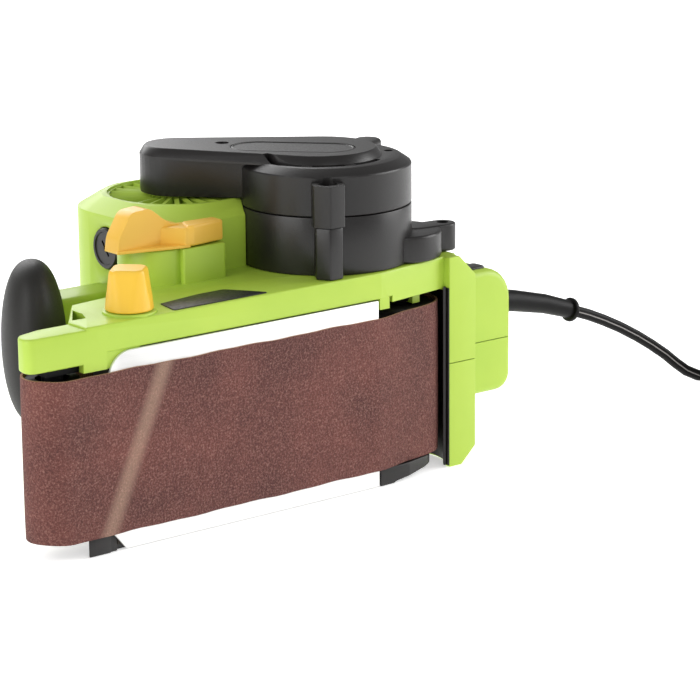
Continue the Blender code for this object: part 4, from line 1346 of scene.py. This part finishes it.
    def left(self, hull: Object) -> Object:
        """Upper shell: hull above the seam with plate and openings.

        Args:
            hull: a copy of the shared hull; it becomes the shell.

        Returns:
            The finished shell.
        """
        hull.name = "housing_left_shell"
        carve(hull, [block("below", (-200, -200, -10), (200, 200, SEAM + self.gap / 2))])
        carve(hull, self.plate(), "UNION")
        slot = self.slot(IDLER, (IDLER[0] + 7, IDLER[1]), 6)
        ring = disc(*MOTOR, self.vent)
        cuts = [prism("vent_well", [ring], 129, 145),
                prism("shaft_way", [disc(*DRIVE, 12.3)], 90, 112),
                prism("lay_way", [disc(*LAY, 8.3)], 101, 112),
                prism("case_room", [disc(*LAY, 42.3)], PLATE_TOP, 150),
                prism("axle_slot", [slot], 85, 98),
                prism("knob_way", [disc(*KNOB, 3.3, 32)], 80, 112),
                block("yoke_room", (-142, -69, 85), (-60, -52, 90)),
                block("lever_way", (LEVER[0] - 4.3, LEVER[1] - 4.3, 100),
                      (LEVER[0] + 4.3, LEVER[1] + 4.3, 126)),
                self.neck_room(),
                prism("button_way", [disc(80, 57, 5.3, 40)], 60, 80),
                prism("corner_recess", [[(-107.5, -40.0), (-108.0, -49), (-111.5, -56.8),
                                         (-118.6, -56.4)]],
                      94.5, 110)]
        for side in (-1, 1):
            cone = ((0, 20), (14.2, 20), (14.2, 5.6), (13.2, 4.8), (10.6, 3.3), (10.6, -20), (0, -20))
            place = along("-X" if side < 0 else "+X", MOTOR[0] + side * 39.0, MOTOR[1], BRUSH_LEVEL)
            cuts.append(turned("brush_way", cone[::-1], turn=place))
        return dress(carve(hull, cuts), Finish.GREEN)

    @staticmethod
    def neck_room() -> Object:
        """Cutter of the pocket that holds the front neck."""
        return block("neck_room", (-95.3, 8.7, 61.7), (-44.2, 31.3, 99.3))

    @staticmethod
    def slot(a: Flat, b: Flat, radius: float) -> list[Flat]:
        """Outline of a slot with round ends.

        Args:
            a, b: middles of the two ends.
            radius: half the slot's width.

        Returns:
            The outline, anticlockwise.
        """
        heading = math.degrees(math.atan2(b[1] - a[1], b[0] - a[0]))
        first = arc(*a, radius, heading + 90, heading + 270, 16)
        return first + arc(*b, radius, heading - 90, heading + 90, 16)

    def grille(self) -> Object:
        """Vent: hub, louvre slats and the wall round them, set in the well.

        Returns:
            The grille.
        """
        slat = (self.vent - self.hub + 1.6, 2.3, 4.2)
        slats = RadialArray("vent_slats").build(Finish.GREEN, (*MOTOR, 135.9), 28,
                                                (self.hub + self.vent) / 2 - 0.4, slat, 14, 4)
        bore = 11.4
        hub = turned("vent_hub", ((bore, 130), (self.hub, 130), (self.hub, 137.7),
                                  (self.hub - 0.6, 138.3), (bore, 138.3), (bore, 130)), MOTOR)
        inside, outside = self.vent - 1.2, self.vent + 0.3
        band = turned("vent_band", ((inside, 129.5), (outside, 129.5), (outside, 138.0),
                                    (inside, 138.0), (inside, 129.5)), MOTOR)
        parts = [dress(part, Finish.GREEN) for part in (slats, hub, band)]
        return merged("vent_grille", parts)

    def shade_sheets(self) -> Object:
        """Black sheets of painted shade round the rear roller and on the post's inner face, the shaft's
        collar and the cap on the grip's foot.

        Returns:
            The black pieces as one object.
        """
        # Painted shade: a curved black sheet lines the roller's room and a flat one covers the post's
        # inner face, where the housing lies in shadow.
        painted_shade_round_sheet = arc(*DRIVE, 24.2, -52, 62, 24) + arc(*DRIVE, 23.0, 62, -52, 24)
        collar = ((6.6, 86.0), (10.5, 86.0), (11.5, 88), (11.5, 93.5), (6.6, 93.5), (6.6, 86.0))
        parts = [prism("painted_shade_round_sheet", [painted_shade_round_sheet], 0.9, 92),
                 block("painted_shade_flat_sheet", (94.0, -68.8, 0.9), (94.7, -64.5, 91.6)),
                 turned("collar", collar, DRIVE),
                 prism("foot_cap", [rounded([(131, -42, 2), (142, -42, 2), (142, -33, 2),
                                             (131, -33, 2)])],
                       88, 91.7, 0.8)]
        for part in parts:
            dress(part, Finish.BLACK)
        return merged("rear_painted_shade_and_caps", parts)

    def build(self) -> None:
        """Makes and places the shells, the grille and the black pieces between them, among them black
        sheets of painted shade round the rear roller.
        """
        hull = self.hull()
        copy = bpy.data.objects.new("housing_right_shell", hull.data.copy())
        bpy.context.scene.collection.objects.link(copy)
        settle(self.left(hull), "housing", ("left_housing",))
        carve(copy, [block("above", (-200, -200, SEAM - self.gap / 2), (200, 200, 200)),
                     self.neck_room()])
        settle(dress(copy, Finish.GREEN), "housing", ("right_housing",))
        settle(self.grille(), "housing")
        settle(self.shade_sheets(), "housing")


# ---- brush caps ----------------------------------------------------------------------
@dataclass
class BrushCap:
    """Slotted black screw cap of a brush holder."""

    name: str
    node: str
    direction: str
    side: int

    def build(self) -> None:
        """Makes and places the cap."""
        profile = ((0, 4.7), (7.9, 4.7), (8.3, 5.3), (9.5, 5.3), (10.2, 4.6), (10.2, -6), (0, -6))
        cap = turned(self.name, profile[::-1])
        cut = block("slot", (-4.4, -0.7, 3.6), (4.4, 0.7, 8))
        dot = turned("dot", ((0, 2.6), (1.5, 2.6), (1.5, 8), (0, 8)), steps=32)
        carve(cap, [cut, dot])
        place = along(self.direction, MOTOR[0] + self.side * 38.6, MOTOR[1], BRUSH_LEVEL)
        moved(cap, place @ Matrix.Rotation(math.radians(38), 4, "Z"))
        settle(dress(cap, Finish.BLACK), "housing", (self.node,))


# ---- drive cover ----------------------------------------------------------------------
@dataclass
class DriveCover:
    """Black cover of gears and timing belt: lower case, upper cover and blank badge."""

    round: float = 42.0
    lobe: float = 21.7
    neck: float = 18.0
    low: float = 107.3
    joint: float = 135.4
    chamfer: float = 155.0
    flat: float = 158.5
    top: float = 162.6
    post: Flat = (21.7, -65.3)
    post_r: float = 6.9
    hub: Flat = (47.0, -27.0)
    ear: Flat = (104.5, -52.0)

    def column(self, name: str, grow: float, low: float, high: float) -> Object:
        """Six-sided screw column at the front of the cover.

        Args:
            name: the solid's name.
            grow: added to its size.
            low, high: its two ends.

        Returns:
            The column.
        """
        corners = [(x, y, 1.2) for x, y in disc(*self.post, (self.post_r + grow) * 1.09, 6)]
        return prism(name, [rounded(corners[4:] + corners[:4], 3)], low, high, 0.0 if grow else 0.6, 2)

    def case(self) -> Object:
        """Lower case with the output gear's lobe, its screw ear and the column's foot.

        Returns:
            The case.
        """
        dip = self.joint - 3.2
        web = [(60, -66, 4), (86, -60, 4), (80, -40, 0.0), (60, -40, 0.0)]
        case = prism("gear_case_shell", [disc(*LAY, self.round, 120)], self.low, self.joint, 0.5, 2)
        adds = [prism("lobe", [disc(*DRIVE, self.lobe)], self.low, 120.5, 1.4, 4),
                prism("ear", [Housing.slot((88, -50), self.ear, 6.5)], self.low, 121, 1.0, 3),
                self.column("foot", 0, self.low, dip),
                prism("web", [rounded(web)], self.low, 112, 0.8)]
        carve(case, adds, "UNION")
        cuts = [prism("gear_room", [disc(*LAY, self.round - 3)], self.low + 2.7, 140),
                prism("lobe_room", [disc(*DRIVE, self.lobe - 2.4)], self.low + 2.7, 118.4),
                prism("drive_hole", [disc(*DRIVE, 6.5, 40)], 100, 119.3),
                prism("lay_hole", [disc(*LAY, 5.5, 40)], 100, 115),
                prism("ear_hole", [disc(*self.ear, 3.0, 32)], 110, 125),
                self.column("notch", 0.5, dip, 140)]
        return dress(carve(case, cuts), Finish.BLACK)

    def cover(self) -> Object:
        """Upper cover: round, neck, raised top, screw column and far ear.

        Returns:
            The cover.
        """
        low = self.joint + 0.35
        sides = ((self.round - 0.5, low), (self.round, low + 0.5), (self.round, self.chamfer - 0.5),
                 (self.round - 0.4, self.chamfer + 0.2), (self.round - 4.8, self.flat - 0.3),
                 (self.round - 5.6, self.flat))
        rings = [at_level(disc(*LAY, radius, 120), level) for radius, level in sides]
        cover = loft("belt_cover_shell", rings, sharp=24)
        strip = Housing.slot(MOTOR, LAY, self.neck)
        inner = self.top - self.flat
        steps = ((18, 30.5, self.flat - 1.0), (18, 30.5, self.flat), (17.7, 30.2, self.flat + 0.5),
                 (15.8, 28.2, self.flat + inner - 0.6), (15.0, 27.4, self.flat + inner))
        rings = [at_level(tangent_loop(MOTOR, motor_r, self.hub, hub_r, 48), level)
                 for motor_r, hub_r, level in steps]
        adds = [prism("strip", [strip], 139.4, self.flat, 0.5, 2), loft("plateau", rings),
                self.column("column", 1.1, self.joint - 2.8, 152.6),
                prism("far_ear", [Housing.slot((80, -16), (91, -10), 7.0)], low, 159.0, 2.0, 5)]
        carve(cover, adds, "UNION", sharp=24)
        cuts = [prism("pulley_room", [disc(*LAY, self.round - 3)], 130, 154.5),
                prism("neck_room", [Housing.slot(MOTOR, LAY, self.neck - 3)], 130, 156.5),
                prism("column_hole", [disc(*self.post, 4.6, 40)], 137, 155),
                prism("cover_screw", [disc(17, 12, 3.3, 40)], self.top - 2.2, 170, 0.0),
                prism("vent_dot", [disc(self.hub[0] + 32, self.hub[1] - 14, 2.2, 24)],
                      self.flat - 3, 170),
                self.dish()]
        for start, end in ((177, 216), (225, 254), (264, 295)):
            arcs = arc(*self.hub, 33.4, start, end, 16) + arc(*self.hub, 30.4, end, start, 16)
            cuts.append(prism("vent_slot", [arcs], self.flat - 4, 170))
        return dress(carve(cover, cuts, sharp=24), Finish.BLACK)

    def badge_axis(self) -> tuple[Flat, Flat]:
        """Ends of the badge's middle line, along the neck.

        Returns:
            The two ends.
        """
        heading = math.atan2(LAY[1] - MOTOR[1], LAY[0] - MOTOR[0])
        ux, uy = math.cos(heading), math.sin(heading)
        middle, half = (36.0, -20.0), 17.5
        return ((middle[0] - ux * half, middle[1] - uy * half),
                (middle[0] + ux * half, middle[1] + uy * half))

    def dish(self) -> Object:
        """Cutter of the badge's recess."""
        a, b = self.badge_axis()
        return prism("dish", [Housing.slot(a, b, 13.4)], self.top - 0.9, 170)

    def badge(self) -> Object:
        """Blank badge lying in its recess with a fine raised rim.

        Returns:
            The badge.
        """
        a, b = self.badge_axis()
        rim = ((12.9, self.top - 1.0), (12.9, self.top - 0.2), (12.6, self.top + 0.05),
               (12.1, self.top + 0.05), (11.8, self.top - 0.3), (11.6, self.top - 0.3))
        rings = [at_level(Housing.slot(a, b, radius), level) for radius, level in rim]
        return dress(loft("cover_badge_blank", rings, sharp=20), Finish.BADGE)

    def build(self) -> None:
        """Makes and places the cover's pieces."""
        settle(self.case(), "housing", ("gear_case",))
        settle(self.cover(), "housing", ("belt_cover",))
        settle(self.badge(), "housing", ("cover_badge",))


# ---- grips and controls -----------------------------------------------------------------
@dataclass
class FrontHandle:
    """Soft egg-shaped front grip on its green neck."""

    reach: Point = (26.0, 15.5, 39.5)
    lean: float = 60.0

    def grip(self) -> Object:
        """Egg, a little squarer than an ellipsoid, cut for the neck.

        Returns:
            The grip.
        """
        turn = math.radians(self.lean)
        rings = []
        levels = 40
        for i in range(levels + 1):
            tilt = math.radians(-88.5 + 177 * i / levels)
            height = math.sin(tilt)
            ring = []
            for x, y in disc(0, 0, 1, 72):
                width = abs(math.cos(tilt)) ** 0.78
                px, py = x * width * self.reach[0], y * width * self.reach[1]
                ring.append((GRIP_CENTRE[0] + px * math.cos(turn) - py * math.sin(turn),
                             GRIP_CENTRE[1] + px * math.sin(turn) + py * math.cos(turn),
                             GRIP_CENTRE[2] + self.reach[2] * height))
            rings.append(ring)
        egg = loft("front_grip", rings)
        carve(egg, [block("seat", (-95, 8.7, 61.7), (-60, 31.3, 99.3))])
        return dress(egg, Finish.SOFT)

    def neck(self) -> Object:
        """Green neck between grip and motor tube.

        Returns:
            The neck.
        """
        neck = block("front_neck", (-94.7, 9, 62), (-44.5, 31, 99), 2.4)
        place = along("+X", -80, 20, 80.5)
        way = turned("way", ((0, -25), (3.3, -25), (3.3, 16), (0, 16)), turn=place, steps=32)
        return dress(carve(neck, [way]), Finish.GREEN)

    def build(self) -> None:
        """Makes and places grip and neck."""
        settle(self.grip(), "housing", ("front_handle",))
        settle(self.neck(), "housing", ("front_handle_neck",))


@dataclass
class TrackingKnob:
    """Yellow knob with four leaning flats that narrow downwards."""

    low: float = 108.5
    high: float = 127.6
    flats: int = 4
    first: float = -135.0
    facets: int = 144

    def build(self) -> None:
        """Makes and places the knob."""
        rings = []
        sides = ((0.0, 9.8, 9.8), (0.0, 10.9, 10.8), (0.03, 11.2, 11.0), (0.3, 10.75, 10.1),
                 (0.6, 10.25, 9.1), (0.86, 9.85, 8.35), (0.93, 9.65, 8.1), (0.975, 9.2, 7.7),
                 (1.0, 8.4, 7.0))
        for share, radius, apothem in sides:
            ring = []
            for i in range(self.facets):
                angle = math.tau * i / self.facets
                spread = 360 / self.flats
                off = (math.degrees(angle) - self.first + spread / 2) % spread - spread / 2
                size = min(radius, apothem / math.cos(math.radians(off)))
                ring.append((KNOB[0] + size * math.cos(angle), KNOB[1] + size * math.sin(angle),
                             self.low + (self.high - self.low) * share))
            rings.append(ring)
        knob = loft("tracking_knob_cap", rings, sharp=22)
        socket = turned("socket", ((0, 100), (3.3, 100), (3.3, 116.5), (0, 116.5)), KNOB, 32)
        carve(knob, [socket], sharp=22)
        settle(dress(knob, Finish.YELLOW), "knob", ("tracking_knob",))


@dataclass
class TensionLever:
    """Amber cam lever: arched hub with a flat front, waisted arm with a thicker end."""

    low: float = 124.3
    front: float = 22.0
    back: float = 11.0
    hub: float = 14.0
    tall: float = 16.5

    def build(self) -> None:
        """Makes and places the lever."""
        low = self.low
        arch = [(-69.8, low, 0.5), (-68.6, low + 7.5, 9.0), (-61.6, low + 18.8, 6.0),
                (-50.5, low + 19.6, 7.0),
                (-43.5, low + 14.0, 3.0), (-38.5, low + 10.8, 4.0), (-34, low + 10.2, 0.0), (-34,
                                                                                             low, 0.0)]
        lever = prism("cam_lever", [rounded(arch, 8)], self.back, self.front, 1.5, 5, upright(),
                      sharp=28)
        dome = [(0.0, low), (self.hub, low)]
        for i in range(1, 21):
            angle = math.radians(90 * i / 20)
            radius = self.hub * math.cos(angle) ** 0.8
            dome.append((radius, low + 1.0 + (self.tall - 1.0) * math.sin(angle)))
        boss = turned("boss", dome, LEVER)
        carve(boss, [block("face", (-90, -60, 100), (0, -self.front + 0.6, 170))])
        arm = [(-47, -20, 0.0), (-36.6, -30.6, 2.5), (-32.5, -31.6, 2.0), (-13.8, -28.9, 1.5),
               (-13.6, -20.6, 1.8),
               (-24, -19.4, 6.0), (-37, -14, 3.0), (-47, -12, 0.0)]
        end = [(-36.0, -30.9, 1.5), (-32.5, -32.0, 2.0), (-13.4, -29.2, 1.5), (-13.2, -20.4, 1.8),
               (-31, -19.6, 1.5)]
        foot = [(-69.6, -20.5, 0.8), (-70.2, -22.6, 0.8), (-38, -30.8, 5.0), (-33, -31.4, 2.0),
                (-33, -15, 1.0),
                (-60, -9, 3.0)]
        carve(lever, [boss, prism("arm", [rounded(arm)], low + 0.7, low + 9.6, 1.0, 4),
                      prism("end", [rounded(end)], low + 0.6, low + 10.6, 1.3, 4),
                      prism("foot", [rounded(foot)], low + 0.05, low + 1.5, 0.3, 2)], "UNION", sharp=28)
        settle(dress(lever, Finish.ORANGE), "lever", ("tension_lever",))


@dataclass
class RearControls:
    """Trigger, lock button and the outlet for a dust bag."""

    def build(self) -> None:
        """Makes and places the rear controls."""
        outline = [(74.5, 48.5, 0.8), (74.8, 38.5, 3.0), (85, 38.6, 12.0), (96.0, 36.5, 2.5),
                   (97.5, 39, 2.0),
                   (97.5, 48.5, 0.8)]
        trigger = prism("switch_trigger", [rounded(outline, 8)], 47.5, 59.5, 2.2, 4)
        settle(dress(trigger, Finish.BLACK), "trigger_group", ("trigger",))
        profile = ((0, 66.5), (5, 66.5), (5, 73.2), (4.6, 74.1), (3.8, 74.5), (3.0, 74.1), (0, 73.9))
        button = turned("lock_on_button", profile, (80, 57), 64)
        settle(dress(button, Finish.BLACK), "lock_group", ("lock_button",))
        profile = ((11.5, 27.4), (12.0, 28), (13.5, 28), (14, 27.5), (14, 24), (13.4, 23.4),
                   (13.4, 2.6), (14, 2),
                   (14, 0), (11.5, 0), (11.5, 27.4))
        outlet = turned("dust_spout", profile, turn=along("+X", 112, -2, 17))
        settle(dress(outlet, Finish.BLACK), "housing", ("dust_outlet",))


@dataclass
class RatingPlate:
    """Blank printed plate on the side plate."""

    def build(self) -> None:
        """Makes and places the plate."""
        outline = [(-70.5, -56.8, 1.2), (-73, -71.2, 1.2), (-18.5, -71.0, 1.0), (-31, -52.2, 5.0),
                   (-46, -52.6, 12.0)]
        plate = prism("rating_plate_blank", [rounded(outline, 6)], PLATE_TOP + 0.05,
                      PLATE_TOP + 0.45, 0.1, 2)
        settle(dress(plate, Finish.LABEL), "housing", ("rating_plate",))


# ---- CAD nodes that stay as they are ---------------------------------------------------
KEPT = {
    Finish.OXIDE: ("tension_yoke", "idler_axle", "drive_shaft"),
    Finish.STEEL: ("drive_gear", "drive_roller_bearing", "armature_shaft", "armature_core",
                   "countershaft", "countershaft_bearing", "pinion_gear",
                   "tension_spring", "lever_cam_shaft", "tracking_screw", "motor_bearing_left",
                   "motor_bearing_right", "stator", "handle_bolt"),
    Finish.ALLOY: ("base_frame", "motor_pulley", "large_pulley"),
    Finish.COPPER: ("commutator",),
    Finish.CARBON: ("carbon_brush_front", "carbon_brush_rear"),
    Finish.SOFT: ("timing_belt",),
    Finish.BLACK: ("cooling_fan", "switch_module"),
    Finish.CORK: ("platen_pad",),
}


def dress_kept_nodes() -> None:
    """Gives every CAD node that no piece replaces its procedural finish."""
    for finish, names in KEPT.items():
        for name in names:
            dress(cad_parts[name], finish)


def main() -> None:
    """Builds the scene."""
    studio = Studio()
    studio.camera()
    MainsCord().build()
    studio.build()
    Housing().build()
    BrushCap("brush_cap_left_side", "brush_cap_front", "-X", -1).build()
    BrushCap("brush_cap_right_side", "brush_cap_rear", "+X", 1).build()
    DriveCover().build()
    BeltUnit().build()
    FrontHandle().build()
    TrackingKnob().build()
    TensionLever().build()
    RearControls().build()
    RatingPlate().build()
    dress_kept_nodes()


if __name__ == "__main__":
    main()
